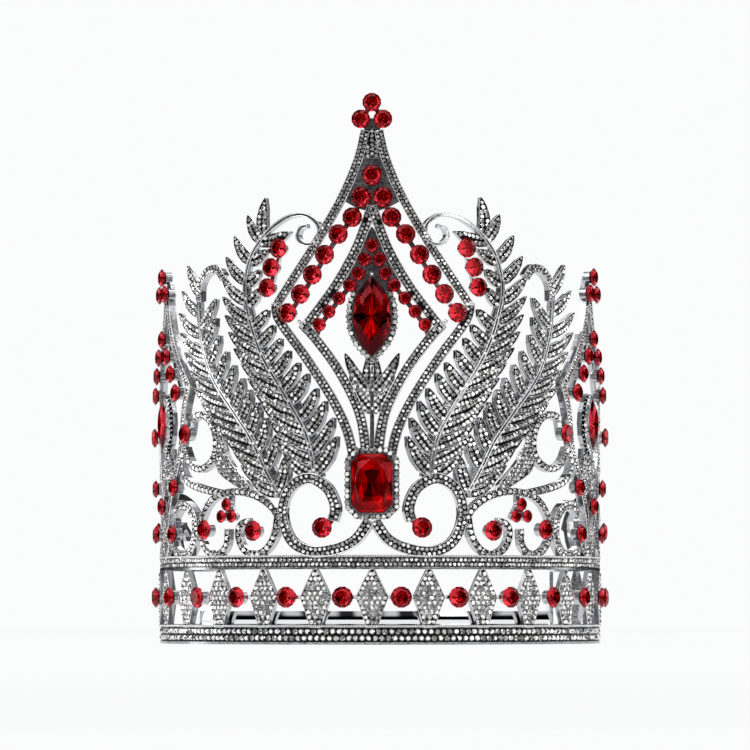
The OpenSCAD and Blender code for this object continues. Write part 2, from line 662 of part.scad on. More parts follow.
// Sliding collar round both ribbons
module collar(side) {
    half = collar_l / 2 / strap_inner_r * 180 / PI;
    middle = 180 - collar_at;
    hole_r = strap_inner_r - strap_t - seat_gap;
    hole_t = strap_outer_r + seat_gap - hole_r;
    color(bright) difference() {
        arc_between(side, middle - half, middle + half, hole_r - collar_wall, hole_t + 2 * collar_wall,
            strap_mid - collar_h / 2, collar_h);
        arc_between(side, middle - 2 * half, middle + 2 * half, hole_r, hole_t, strap_z - seat_gap,
            strap_h + 2 * seat_gap);
    }
}
// Pin loop: a thin strip that leaves the band's inner face, runs clear of it and comes back
loop_depth = 3;
// Its path: [share of the way round, share of the depth]
loop_shares = [[0, 0], [0.04, 0.35], [0.14, 0.85], [0.5, 1], [0.86, 0.85], [0.96, 0.35], [1, 0]];
module pin_loop(side) {
    outer = face_r - band_t - seat_gap - loop_t / 2;
    path = [for (p = loop_shares)
        let (turn = loop_span[0] + p[0] * (loop_span[1] - loop_span[0]), r = outer - p[1] * loop_depth)
        r * [side * sin(turn), -cos(turn)]];
    color(grey) translate([0, 0, seat_gap]) linear_extrude(height = loop_h)
        polygon(ribbon_outline(curve(path, 3), [loop_t, loop_t]));
}

// Stones
module one_side(side) {
    $side = side;
    $fold = false;
    children();
}
module stone(side, at, d) { color(red) one_side(side) on_wall(at) round_stone(d); }
module front_marquise() {
    color(red) one_side(1) on_wall(marquise_at) large_stone(marquise_outline, marquise_size[0]);
}
module front_octagon() {
    color(red) one_side(1) on_wall(octagon_at) large_stone(octagon_outline, octagon_size[0]);
}
module side_marquise(side) {
    color(red) one_side(side) on_wall(side_marquise_at)
        large_stone(side_marquise_outline, side_marquise_size[0]);
}
module gallery_stones() {
    color(red) for (turn = gallery_stone_turns) at_gallery(turn) round_stone(gallery_stone_d);
}
module inner_row_stones() {
    stone(1, inner_stone_top_at, inner_stone_d);
    for (side = [-1, 1], at = inner_stones) stone(side, at, inner_stone_d);
}
module folded_stones(list, d, fold) {
    $fold = fold;
    for (p = list) on_wall(p) round_stone(d);
}
module trefoil_stones() {
    color(red) for (side = [-1, 1], fold = [false, true])
        one_side(side) folded_stones(trefoil_stones_at, trefoil_stone_d, fold);
}
// All the stones of one side panel, and those of the rear arch and curl
module side_stones(side) {
    color(red) one_side(side) {
        side_pairs() round_stone(side_stone_d);
        folded_stones(concat(arch_stones, [curl_stone_at]), scroll_stone_d, true);
    }
}

crown_frame();
inner_ribbon();
front_marquise();
front_octagon();
gallery_stones();
inner_row_stones();
trefoil_stones();
stone(1, finial_stones[0], finial_stone_d);  // finial_stone_top
stone(1, peak_stone_top_at, peak_stone_d);  // peak_stone_top
for (side = [-1, 1]) {
    which = side < 0 ? "left" : "right";
    strap(side);
    collar(side);
    pin_loop(side);
    side_marquise(side);
    side_stones(side);
    stone(side, finial_stones[1], finial_stone_d);
    stone(side, scroll_stone_at, scroll_stone_d);
    stone(side, curl_stone_at, scroll_stone_d);
    for (i = [0:len(arch_stones) - 1])
        stone(side, arch_stones[i], scroll_stone_d);
    for (i = [0:len(fern_stones) - 1])
        stone(side, fern_stones[i], fern_stone_d);
    for (i = [0:len(peak_stones) - 1])
        stone(side, peak_stones[i], peak_stone_d);
}
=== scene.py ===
"""Pageant crown, dressed for its picture: fine clear stones with facets painted light and dark, a painted
reflection, on near-black sheets of painted shade, rims, milgrain, link balls and cut red stones with painted
light and shade on their foil go over the solid frame, which stands on a pale floor under soft lights.

The wall of the crown is drawn unrolled. A flat place on it is (millimetres round the face from the front,
millimetres up), and lift is the distance out from the face. Tables of places are in steps, as on a chart:
one step across is 1/465 of the ring's circumference, one step up is 1/146 of the openwork's height.
"""
import json
import math

import bpy
import numpy as np
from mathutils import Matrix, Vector


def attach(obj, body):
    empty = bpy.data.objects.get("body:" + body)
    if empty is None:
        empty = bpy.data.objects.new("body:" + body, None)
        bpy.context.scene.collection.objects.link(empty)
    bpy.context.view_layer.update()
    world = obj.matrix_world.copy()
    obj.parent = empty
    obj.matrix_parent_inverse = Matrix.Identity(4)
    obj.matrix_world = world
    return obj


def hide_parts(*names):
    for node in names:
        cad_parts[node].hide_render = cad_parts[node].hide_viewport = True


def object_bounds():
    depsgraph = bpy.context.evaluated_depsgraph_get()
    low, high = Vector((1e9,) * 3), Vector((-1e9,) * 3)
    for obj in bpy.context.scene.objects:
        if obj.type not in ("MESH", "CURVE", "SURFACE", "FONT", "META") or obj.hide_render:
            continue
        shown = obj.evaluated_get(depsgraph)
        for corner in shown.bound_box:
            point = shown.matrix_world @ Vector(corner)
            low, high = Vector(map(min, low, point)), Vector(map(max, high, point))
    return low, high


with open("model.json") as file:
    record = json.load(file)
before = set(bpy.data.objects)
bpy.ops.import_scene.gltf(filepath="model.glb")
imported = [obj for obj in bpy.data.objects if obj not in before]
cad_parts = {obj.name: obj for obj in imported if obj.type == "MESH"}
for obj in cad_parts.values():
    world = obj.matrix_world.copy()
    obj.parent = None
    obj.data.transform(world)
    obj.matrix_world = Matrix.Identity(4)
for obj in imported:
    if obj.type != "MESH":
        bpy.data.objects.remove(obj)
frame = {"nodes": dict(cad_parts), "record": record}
CAD_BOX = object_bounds()
CHANCE = np.random.default_rng(11)
MM = 0.001

# Sizes of the solid frame, in millimetres
RING_D = 148.0
PEAK_H = 175.0
LOW_BAND_H = 6.3
GALLERY_H = 18.0
TOP_BAND_H = 4.6
RAIL_H = 0.8
CHANNEL_D = 0.5
BAND_T = 2.4
SEAT_GAP = 0.15
RIBBON_T = 0.6
RIBBON_H = 5.5
RIBBON_LAP = 1.0
RIBBON_END = 54.0
WALL_END = 129.6
GALLERY_COUNT = 18
KITE_W = 10.6
KITE_FOOT_W = 3.8
KITE_DROP = 0.1
LEAF_DROP = 0.63
SOLDER_STEP = 0.06
FACE_R = RING_D / 2
DECK_Z = LOW_BAND_H + GALLERY_H + TOP_BAND_H
GALLERY_MID = LOW_BAND_H + GALLERY_H / 2
# From the front round the face to the end of the wall
WALL_HALF = math.radians(WALL_END) * FACE_R
# Outline of a kite: [share of its width, share of the gallery's height]
KITE_SHARES = [[KITE_FOOT_W / KITE_W, -RAIL_H / GALLERY_H], [0.52, 0.12], [1, 0.5], [0.55, 0.78], [0.1, 1.0]]

# The chart: steps round the ring and up the openwork, the rise of the deck, and the side panel's axis
CHART_ROUND = 465
CHART_UP = 146
DECK_RISE = 29
SIDE_AXIS = 93
STEP_X = math.pi * RING_D / CHART_ROUND
STEP_Z = (PEAK_H - DECK_Z) / CHART_UP

# Red stones: height of their points over the face, girdle, reach of the crown past the girdle, and
# heights of crown and back as shares of the width
SEAT_H = -0.38
GIRDLE_H = 0.25
OVERHANG = 0.2
CROWN_SHARE = 0.16
BACK_SHARE = 0.3
BIG_BACK_SHARE = 0.18
# Glass stands clear of the foil by this, and the foil is this thick
GLASS_GAP = 0.06
FOIL_T = 0.05
# Tones of the foil from the middle out, where 0 is dark and 1 bright, painted light and shade of the facets;
# a fourth one makes a bow tie of painted shade
ROUND_TONES = [0.25, 0.4, 0.48]
MARQUISE_TONES = [0.7, 0.5, 0.35]
SIDE_MARQUISE_TONES = [0.2, 0.5, 0.7]
OCTAGON_TONES = [0.6, 1.1, 0.9, -0.4]
FOIL_SPREAD = 0.95

# Fine stones: spread of their tones, which paints their facets light or dark as a painted reflection, room
# kept round the cups, and a share of their own size besides
TONE_SPREAD = 0.9
CUP_RIM = 0.47
KEEP_OFF_SHARE = 0.35
BAR_PITCH = 1.06
LEAF_PITCH = 1.5
LEAF_PAIR_W = 2.9
LEAF_PAIR_D = 1.62
TEARDROP_STONE_D = 1.5
TEARDROP_LAYER = 4
KITE_STONE_D = 1.75
KITE_STONE_PITCH = 1.72
KITE_ROW_PITCH = 1.55
HALO_STONE_D = 1.95
HALO_BEAD_D = 0.6
# Halos in shares of a diameter: pitch of the stones, reach of the beads, half width of the strip
HALO_PITCH = 1.04
HALO_BEAD_AT = 0.52
HALO_HALF_W = 0.38
# Halos: growth of the stone's size, diameter that the shares are of, height
MARQUISE_HALO = (3.0, 1.75, 0.5)
OCTAGON_HALO = (2.8, 1.75, 0.7)
SIDE_HALO = (2.7, 1.5, 0.3)
# Rows of stones in a band: distance of each from the middle, pitch and diameter
LOW_ROWS = (1.08, 2.12, 2.05)
TOP_ROWS = (0.74, 1.5, 1.45)
# Milgrain: drop below the band's top, pitch and diameter
MILGRAIN = (0.3, 0.74, 0.66)
# Near-black sheets of painted shade under the fine stones: reach into the metal, height over it on bars,
# leaves and flat pieces, and gap at a bar's ends
SHADE_BED_ROOT = 0.3
BAR_SHADE_BED_H = 0.06
LEAF_SHADE_BED_H = 0.34
FLAT_SHADE_BED_H = 0.05
SHADE_BED_END = 0.8
# Edge wires: distance in from the edge, radius, height
BAR_WIRE = (0.13, 0.14, 0.1)
STEM_WIRE = (0.16, 0.18, 0.08)
LEAF_WIRE = (0.1, 0.13, 0.24)
# The inner ribbon's edges stand back by this from its middle
RIBBON_DOME = 0.2

# Which sides a casting stands on: (side, folded round the side panel's axis)
ONCE = ((1, False),)
BOTH = ((1, False), (-1, False))
FOUR = ((1, False), (-1, False), (1, True), (-1, True))

# Front peak: [across, rise] along the middle of each bar
PEAK_TOP_BAR = [[2.2, 166], [4.4, 157], [10, 144], [19.5, 128.2], [32.4, 110]]
PEAK_LEG = [[32.6, 110.6], [31.4, 105.2], [22.2, 93.2], [13.4, 80], [8.1, 69], [5.6, 58]]
INNER_TOP_BAR = [[0, 141.5], [2.8, 133.5], [6, 126], [11.8, 116], [19.4, 106], [23, 102]]
INNER_LEG = [[23.2, 103.6], [18.6, 98.8], [11.9, 90], [6.3, 80], [3.4, 72], [1.8, 61]]
PEAK_NECK = [[0, 157], [0, 162], [0, 167.2]]
PEAK_STALK = [[0, 61], [0, 70], [0, 90]]
# Palmette leaves: [across and rise of the base, across and rise of the tip, width]
PALMETTE = [[0.3, 81, 8.8, 94, 4.2], [0.3, 75, 7.2, 87.4, 3.8], [0, 80, 0, 95, 5]]
MARQUISE_AT = [0, 105.8]
OCTAGON_AT = [0, 52]
PEAK_STONES = [[3.45, 144.4], [6.2, 137.8], [10.7, 132.4], [15.1, 125.8], [19.1, 119.4],
               [23.2, 113.2], [27.6, 107.2]]
PEAK_STONE_TOP_AT = [0, 151.5]
INNER_STONES = [[2.4, 124.3], [4.3, 119.7], [7.1, 115.8], [10.5, 111.7], [13.8, 107.4], [17, 103.2]]
INNER_STONE_TOP_AT = [0, 128.8]
FINIAL_STONES = [[0, 175], [3.5, 169.6]]

# Front scroll and the ferns
FRONT_SCROLL = [[1, 40], [5.4, 34], [12, 30.9], [20.5, 30.2], [27.2, 34], [30.1, 42.4],
                [27.6, 50.4], [21.1, 53.7], [14.8, 50.6], [12, 44.4], [12.9, 40]]
SCROLL_STONE_AT = [15.9, 37.8]
FERN_STEM = [[19, 54], [20.2, 62], [22.8, 70], [30.2, 82], [36.6, 91.5], [40.8, 100],
             [44, 110], [44.6, 117.5], [42.6, 125.5], [38, 132]]
FERN_WIRE = [[38.4, 131.6], [33.6, 135.6], [28, 138.6], [22.6, 139], [18.4, 136.4], [17.4, 132.8],
             [19.2, 129.9], [22.4, 129.5], [24.8, 131.6], [24, 134.6], [21.6, 135.4]]
FERN_TIPS_OUT = [[30, 62.2], [33.4, 67.6], [35.2, 72.4], [37.8, 77.4], [40.8, 81.8], [43.8, 86.4],
                 [46.6, 91.4], [49.8, 96.4], [52.2, 101.8], [53.8, 107.4], [55, 113.4],
                 [55.2, 119.8], [53.4, 126.4], [49.6, 133], [43.9, 139.6], [36.8, 145]]
FERN_TIPS_IN = [[11.7, 67.2], [12.9, 73.2], [15.6, 78.6], [18.5, 82.8], [21.5, 87.6],
                [24.7, 91.2], [28, 95.2], [31, 99.2], [33.6, 103.6], [35.8, 108.6],
                [39, 115.6], [38.6, 121.6], [36, 128], [27.6, 133.6]]
FERN_STONES = [[30.8, 128.2], [33.5, 122.1], [34.9, 115.6]]
OUTER_STEM = [[32, 49], [37, 57.4], [42, 66.4], [49, 75], [56, 82.7], [61.4, 90], [65.5, 99.5],
              [67.4, 109], [67.2, 115]]
OUTER_CURL = [[67, 112.5], [66.4, 118], [62.6, 122], [57.8, 122.6], [54.8, 119.6]]
OUTER_TIPS_OUT = [[42.6, 53.8], [46.6, 58.2], [50.2, 63.6], [53.8, 67.6], [58, 71.6], [62, 75.2],
                  [65.6, 78.8], [70.6, 84], [72.8, 89.8], [77, 96], [80.4, 102.6], [81.4, 109.2],
                  [79, 116.4], [75, 124.6]]
OUTER_TIPS_IN = [[29.7, 60.6], [32.7, 68], [36.7, 73.6], [40.1, 78.6], [43.4, 82.8], [46.4, 86.6],
                 [50, 91], [53.4, 95.6], [56.8, 101], [58.4, 106.8], [58.4, 113]]
TEARDROP = [[57, 71.5], [59.2, 66], [59.2, 60], [56.6, 55.8], [51, 52.6], [44.6, 49.4],
            [42.6, 48.6], [43.4, 51.6], [47.4, 55.6], [51.8, 60], [54.6, 66]]

# Curls, arch and rings over the upper band
SIDE_CURL = [[72, 73.7], [67, 75.2], [61.4, 73.2], [58.2, 67], [59.6, 60.6], [66, 57.4],
             [72.4, 59.2], [76.2, 64.4]]
CURL_STONE_AT = [72.6, 69]
ARCH = [[30.6, 38.4], [33.4, 43.6], [38.5, 47.4], [45, 49.4], [51.5, 49.6], [58.5, 48],
        [63.2, 44.4], [66, 39], [65, 33.4], [61, 29.8], [56, 29.6], [52.8, 32.6], [52.4, 37.6]]
ARCH_RING = [[32.2, 41.4], [33.4, 35.2], [36.8, 30.6], [41.6, 29.2], [46, 31.6], [47.8, 36.2],
             [46.2, 39.2], [43, 40]]
ARCH_STONES = [[40, 36.9], [61.4, 37.4]]
TREFOIL_STONES = [[51.6, 45.6], [53.9, 41.7], [49.3, 41.7]]
S_BAR = [[77, 65.2], [78.6, 58], [75, 53.8], [69, 51.6], [62, 50.2], [55, 49]]
OVAL_SCROLL = [[84.6, 42.6], [79.6, 45.6], [73.6, 44.8], [69.8, 40.8], [69.4, 35], [72.6, 30.4],
               [78, 28.9], [84, 30.8]]

# Side panel: [steps from the front, rise], with leaves as in the palmette
SIDE_TOP_BAR = [[93.9, 118], [95, 112], [97.8, 104.5], [103, 96], [113, 84.6]]
SIDE_LEG = [[113, 85.4], [109.8, 78], [108.2, 70], [106.6, 63], [103, 56], [98.8, 49], [95.2, 41],
            [93.8, 34]]
SIDE_LEAVES = [[93.4, 48, 101, 61, 3.6], [93.3, 51, 97.6, 64.6, 3.6], [93, 50, 93, 65, 4],
               [93.5, 30, 102, 40.6, 3.6], [93.6, 29, 100.4, 34, 3]]
SIDE_NECK = [[93, 109], [93, 112], [93, 115.4]]
SIDE_STALK = [[93, 28], [93, 40], [93, 56]]
SIDE_MARQUISE_AT = [SIDE_AXIS, 72.8]
SIDE_STONES = [[93, 101], [97.9, 95.2], [102.2, 89.2], [106.4, 82.8], [93, 45.5], [105, 51.6],
               [104, 36.2], [93, 121.6], [96.4, 116]]

# Bars with fine stones: line, width, layer, sides, rows of stones, their diameter. A bar with one row has
# beads along its edges, a bar with two has wires, and a bar with three has neither
BARS = [
    [PEAK_TOP_BAR, 3.0, 1, BOTH, 2, 1.25],
    [PEAK_LEG, 3.3, 1, BOTH, 2, 1.35],
    [INNER_TOP_BAR, 3.3, 1, BOTH, 2, 1.35],
    [INNER_LEG, 3.3, 1, BOTH, 2, 1.35],
    [PEAK_NECK, 5.0, 1, ONCE, 3, 1.4],
    [FRONT_SCROLL, 3.6, 2, BOTH, 2, 1.5],
    [OUTER_CURL, 3.0, 4, BOTH, 2, 1.3],
    [ARCH, 2.3, 5, FOUR, 1, 1.95],
    [ARCH_RING, 2.3, 5, FOUR, 1, 1.95],
    [SIDE_CURL, 2.3, 6, FOUR, 1, 1.95],
    [S_BAR, 2.3, 6, FOUR, 1, 1.95],
    [OVAL_SCROLL, 3.3, 6, FOUR, 2, 1.4],
    [SIDE_TOP_BAR, 2.8, 1, FOUR, 2, 1.15],
    [SIDE_LEG, 2.8, 1, FOUR, 2, 1.15],
    [SIDE_NECK, 4.4, 1, BOTH, 3, 1.2],
]
# Plain lines of metal: line, width, layer, sides
STEMS = [
    [FERN_STEM, 1.3, 3, BOTH],
    [FERN_WIRE, 1.3, 3, BOTH],
    [OUTER_STEM, 1.3, 4, BOTH],
    [PEAK_STALK, 1.3, 1, ONCE],
    [SIDE_STALK, 1.8, 1, BOTH],
]
# Balls of solder where lines meet: places in steps, sides
JOINT_BALLS = [([[0, 119.5]], ONCE), ([[24.2, 104.4]], BOTH), ([[43.4, 40.4]], FOUR), ([[113.4, 85]], FOUR)]
# Ferns: stem, leaf tips, rise of the lowest and of the highest leaf from base to tip, bend, layer
FERNS = [
    [FERN_STEM, FERN_TIPS_OUT, (8.5, 8.5), 1, 3],
    [FERN_STEM, FERN_TIPS_IN, (12, 3), -1, 3],
    [OUTER_STEM, OUTER_TIPS_OUT, (7, 8), 1, 4],
    [OUTER_STEM, OUTER_TIPS_IN, (11, 9), -1, 4],
]
LEAF_W = 4.4
LEAF_BEND = 0.06
LEAF_PROFILE = [0.7, 1, 0.94, 0.66, 0.12]

# Diameters and sizes of the red stones
PEAK_D = 6.2
SCROLL_D = 6.4
FERN_D = 6.0
FINIAL_D = 5.8
GALLERY_D = 6.6
INNER_D = 4.1
TREFOIL_D = 3.9
SIDE_D = 5.8
MARQUISE_SIZE = (12.0, 25.0)
OCTAGON_SIZE = (13.0, 18.5)
SIDE_MARQUISE_SIZE = (7.5, 16.0)
CORNER_SHARE = 0.2
OCTAGON_CUT = OCTAGON_SIZE[0] * CORNER_SHARE
# Bezels are larger than their stones by this
BEZEL_GROWTH = 4.2
SIDE_BEZEL_GROWTH = 3.6
# How full the sides of a lens are: 2 is a parabola, more is fuller
LENS_FULLNESS = 2.5


# Flat places, lines and outlines
def spots(points, side=1, fold=False):
    """Flat places: across = steps times a step's arc, turned round the side panel's axis when folded and
    signed by the side; height = deck height + (rise - the deck's rise) times a step up."""
    steps = np.asarray(points, float)[..., :2]
    across = steps[..., 0] * STEP_X
    if fold:
        across = 2 * SIDE_AXIS * STEP_X - across
    return np.stack([side * across, DECK_Z + (steps[..., 1] - DECK_RISE) * STEP_Z], axis=-1)


def curve(points, steps, closed=False):
    """Smooth line: between b and c, with neighbours a and d, the place at t is
    half of 2b + (c - a)t + (2a - 5b + 4c - d)tt + (3b - a - 3c + d)ttt."""
    points = np.asarray(points, float)
    count = len(points)
    index = np.arange(count if closed else count - 1)
    near = [index + k for k in (-1, 0, 1, 2)]
    near = [k % count if closed else np.clip(k, 0, count - 1) for k in near]
    a, b, c, d = (points[k][:, None] for k in near)
    t = (np.arange(steps) / steps)[None, :, None]
    line = 0.5 * (2 * b + (c - a) * t + (2 * a - 5 * b + 4 * c - d) * t**2 + (3 * b - a - 3 * c + d) * t**3)
    line = line.reshape(-1, points.shape[1])
    return line if closed else np.vstack([line, points[-1:]])


def run_of(line):
    """Distance run at each point of a line: the sum of the chords before it."""
    return np.concatenate([[0.0], np.cumsum(np.linalg.norm(np.diff(line, axis=0), axis=1))])


def places_at(line, run):
    """Places at given distances along a line, and the unit directions there, both read off its chords."""
    length = run_of(line)
    step = length[-1] * 0.004
    def read(s):
        return np.stack([np.interp(s, length, line[:, k]) for k in range(2)], axis=-1)
    ahead = read(np.minimum(run + step, length[-1])) - read(np.maximum(run - step, 0))
    return read(run), ahead / np.linalg.norm(ahead, axis=-1, keepdims=True)


def evenly(line, pitch, closed=False, start=0.0):
    """Places about a pitch apart along a line: its length less both starts is cut in equal parts."""
    if closed:
        line = np.vstack([line, line[:1]])
    length = run_of(line)[-1]
    count = max(int(round((length - 2 * start) / pitch)), 1)
    run = np.linspace(start, length - start, count + 1)
    return places_at(line, run[:-1] if closed else run)


def sideways(ahead):
    """Directions a quarter turn to the left of those ahead."""
    return np.stack([-ahead[..., 1], ahead[..., 0]], axis=-1)


def level(across, height):
    """Flat places at one height."""
    return np.stack([across, np.full(len(across), height)], axis=1)


def staggered(across, heights, pitch):
    """Rows of places at given heights, every other one half a pitch on."""
    return np.vstack([level(across + (k % 2) * pitch / 2, z) for k, z in enumerate(heights)])


def even_turns(count, start=0):
    """Angles that cut a full turn in equal parts."""
    return (np.arange(count) + start) * 2 * math.pi / count


def widths_along(widths, count):
    """Widths at count even shares of the way, straight between the listed ones, or one width throughout."""
    return np.interp(np.linspace(0, 1, count), np.linspace(0, 1, len(widths)), widths)


def outline_of(line, widths, inset):
    """Closed outline of a bar or leaf: its line moved half its width, less the inset, to either side."""
    ahead = np.gradient(line, axis=0)
    ahead /= np.linalg.norm(ahead, axis=1, keepdims=True)
    half = np.maximum(widths_along(widths, len(line)) / 2 - inset, 0.05)[:, None] * sideways(ahead)
    return np.vstack([line + half, (line - half)[::-1]])


def lens(middle, size, corners=10):
    """Lens outline: at a height of s half heights, s being the sine of an even turn, each side is out by
    half the width times (1 - s to the power of the fullness)."""
    s = np.sin(np.linspace(-math.pi / 2, math.pi / 2, corners + 1)[:-1])
    right = np.stack([size[0] / 2 * (1 - np.abs(s)**LENS_FULLNESS), size[1] / 2 * s], axis=1)
    return np.vstack([right, -right]) + middle


def cut_corners(middle, size, cut):
    """Rectangle with its four corners cut off at 45 degrees, anticlockwise from the lower right."""
    w, h = size[0] / 2, size[1] / 2
    corner = np.array([[w, cut - h], [w, h - cut], [w - cut, h], [cut - w, h]])
    return np.vstack([corner, -corner]) + middle


def inside(places, outline):
    """Which flat places lie in an outline: a ray from each crosses its edges an odd number of times."""
    a, b = outline, np.roll(outline, -1, axis=0)
    x, y = places[:, None, 0], places[:, None, 1]
    rise = np.where(b[:, 1] == a[:, 1], 1e-9, b[:, 1] - a[:, 1])
    crosses = ((a[:, 1] > y) != (b[:, 1] > y)) & (x < (b[:, 0] - a[:, 0]) * (y - a[:, 1]) / rise + a[:, 0])
    return crosses.sum(axis=1) % 2 == 1


# Shapes: a shape is (points in millimetres, faces as lists of corner numbers, tones, one to a face)
def on_wall(flat, lift):
    """Places in space: azimuth = across / face radius, radius = face radius + lift, height as it is."""
    turn = flat[..., 0] / FACE_R
    radius = FACE_R + lift
    return np.stack([radius * np.sin(turn), -radius * np.cos(turn), flat[..., 1] + 0 * lift], axis=-1)


def skin(grid, closed):
    """Skin over a grid of points, along by around: squares between neighbours, and a cap on each open end.
    It is turned the right way out by the sign of the volume that it encloses."""
    along, around = grid.shape[:2]
    number = np.arange(along * around).reshape(along, around)
    low = number if closed else number[:-1]
    high = np.roll(number, -1, axis=0) if closed else number[1:]
    squares = np.stack([low, np.roll(low, -1, axis=1), np.roll(high, -1, axis=1), high], axis=-1)
    squares = squares.reshape(-1, 4)
    points = grid.reshape(-1, 3)
    a, b, c, d = (points[squares[:, k]] for k in range(4))
    volume = (np.cross(a, b) * c).sum() + (np.cross(a, c) * d).sum()
    faces = squares.tolist()
    if not closed:
        faces += [number[0, ::-1].tolist(), number[-1].tolist()]
    if volume < 0:
        faces = [face[::-1] for face in faces]
    return points, faces, CHANCE.random(len(faces))


def carried(line, across, lift, closed=False):
    """Profile carried along a flat line: each corner is the place + the sideways direction times across,
    at its own lift. across and lift hold a row of corners, or a row for each place."""
    ahead = np.roll(line, -1, axis=0) - np.roll(line, 1, axis=0) if closed else np.gradient(line, axis=0)
    ahead = ahead / np.linalg.norm(ahead, axis=1, keepdims=True)
    across, lift = np.atleast_2d(across), np.atleast_2d(lift)
    flat = line[:, None] + sideways(ahead)[:, None] * across[..., None]
    return skin(on_wall(flat, np.broadcast_to(lift, flat.shape[:2])), closed)


def strip(line, widths, low, high):
    """Thin strip along a line: a rectangle of the width there, between two lifts."""
    half = widths_along(widths, len(line))[:, None] / 2
    return carried(line, half * [[1, 1, -1, -1]], [low, high, high, low])


def wire(line, radius, lift, sides=6):
    """Round wire along a closed line: a circle of corners round its middle, at a lift."""
    turn = even_turns(sides)
    return carried(line, radius * np.cos(turn), lift + radius * np.sin(turn), closed=True)


def edge_wire(line, widths, form, lift, sides=6):
    """Wire round the edge of a bar or leaf. Its form is (distance in from the edge, radius, height)."""
    inset, radius, height = form
    return wire(outline_of(line, widths, inset), radius, lift + height, sides)


def plate(outline, low, high):
    """Plate with a flat outline, between two lifts: its two faces, and a wall of squares. The outline is
    taken anticlockwise, by the sign of its area."""
    x, y = outline.T
    if (x * np.roll(y, -1) - np.roll(x, -1) * y).sum() < 0:
        outline = outline[::-1]
    n = len(outline)
    k = np.arange(n)
    after = (k + 1) % n
    walls = np.stack([k, after, after + n, k + n], axis=1).tolist()
    points = np.vstack([on_wall(outline, np.full(n, low)), on_wall(outline, np.full(n, high))])
    return points, [list(range(n))[::-1], list(range(n, 2 * n))] + walls, CHANCE.random(n + 2)


def joined(shapes):
    """One shape of many: points end to end, corner numbers moved on by the points before them."""
    start = np.cumsum([0] + [len(s[0]) for s in shapes])
    faces = [[k + n for k in face] for n, s in zip(start, shapes) for face in s[1]]
    return np.vstack([s[0] for s in shapes]), faces, np.concatenate([s[2] for s in shapes])


def set_out(form, places, size, lift, tilt=0.0):
    """The same small form at many places. A corner (x, y, z) of the form is turned by chance about its own
    axis, tipped by chance by up to the tilt, and lies at place + size (x across + y up + z outwards)."""
    corners, faces, tones = form
    count = len(places)
    size = np.broadcast_to(size, count)[:, None]
    lift = np.broadcast_to(lift, count)[:, None]
    spin = CHANCE.random((count, 1)) * 2 * math.pi
    lean = (CHANCE.random((2, count, 1)) - 0.5) * 2 * tilt
    x = corners[:, 0] * np.cos(spin) - corners[:, 1] * np.sin(spin)
    y = corners[:, 0] * np.sin(spin) + corners[:, 1] * np.cos(spin)
    z = corners[:, 2] + x * lean[0] + y * lean[1]
    x, y = x - corners[:, 2] * lean[0], y - corners[:, 2] * lean[1]
    flat = places[:, None] + np.stack([x, y], axis=-1) * size[..., None]
    points = on_wall(flat, lift + z * size).reshape(-1, 3)
    start = np.repeat(np.arange(count) * len(corners), len(faces))
    every = [[k + n for k in face] for n, face in zip(start, faces * count)]
    # Each face's tone is its form's own with a chance spread; on the clear stones this paints facets light or
    # dark, a painted reflection
    shade = np.tile(tones, count) + (CHANCE.random(len(every)) - 0.5) * TONE_SPREAD
    return points, every, np.clip(shade, 0, 1)


def ring_faces(low, high):
    """Triangles between two rings of as many corners, the upper one turned half a side."""
    low, high = np.asarray(low), np.asarray(high)
    return np.vstack([np.stack([low, np.roll(low, -1), high], axis=1),
                      np.stack([np.roll(low, -1), np.roll(high, -1), high], axis=1)]).tolist()


# Forms of size 1 about their own middle, z outwards
def small_stone(sides=8, table=0.62, height=0.24):
    """Small clear stone: a flat back, a crown of triangles from its edge up to a table turned half a side."""
    turn = even_turns(sides)
    half = turn + math.pi / sides
    edge = np.stack([np.cos(turn) / 2, np.sin(turn) / 2, 0 * turn], axis=1)
    top = np.stack([np.cos(half) * table / 2, np.sin(half) * table / 2, 0 * turn + height], axis=1)
    low, high = list(range(sides)), list(range(sides, 2 * sides))
    # On the clear stones the table's high tone is a painted highlight
    tones = np.concatenate([np.full(2 * sides, 0.5), [0.9, 0.4]])
    return np.vstack([edge, top]), ring_faces(low, high) + [high, low[::-1]], tones


def ball(sides=8, rings=5):
    """Ball: rings of corners at even latitudes, the last ones small and capped."""
    latitude = np.linspace(-1, 1, rings) * (math.pi / 2 - 0.35)
    turn = even_turns(sides)
    grid = np.stack([np.cos(latitude)[:, None] * np.cos(turn), np.cos(latitude)[:, None] * np.sin(turn),
                     np.sin(latitude)[:, None] + 0 * turn], axis=-1) / 2
    return skin(grid, False)


STONE = small_stone()
BEAD = ball()


# Cut red stones: a clear crown over a foiled back. Their points are a tip on the axis, then rings
def halfway(outline):
    """Corners in the middles of an outline's sides."""
    return (outline + np.roll(outline, -1, axis=0)) / 2


def ring_points(tip, rings):
    """Points of the tip, at its height, and of rings of (outline, height)."""
    return np.vstack([[[0, 0, tip]]] + [np.column_stack([ring, np.full(len(ring), z)]) for ring, z in rings])


def ring_numbers(corners, rings):
    """Corner numbers of each ring, counted on from the tip."""
    return [list(range(1 + corners * k, 1 + corners * (k + 1))) for k in range(rings)]


def shifted(ring):
    """A ring's corner numbers from its second one on, round to the first."""
    return ring[1:] + ring[:1]


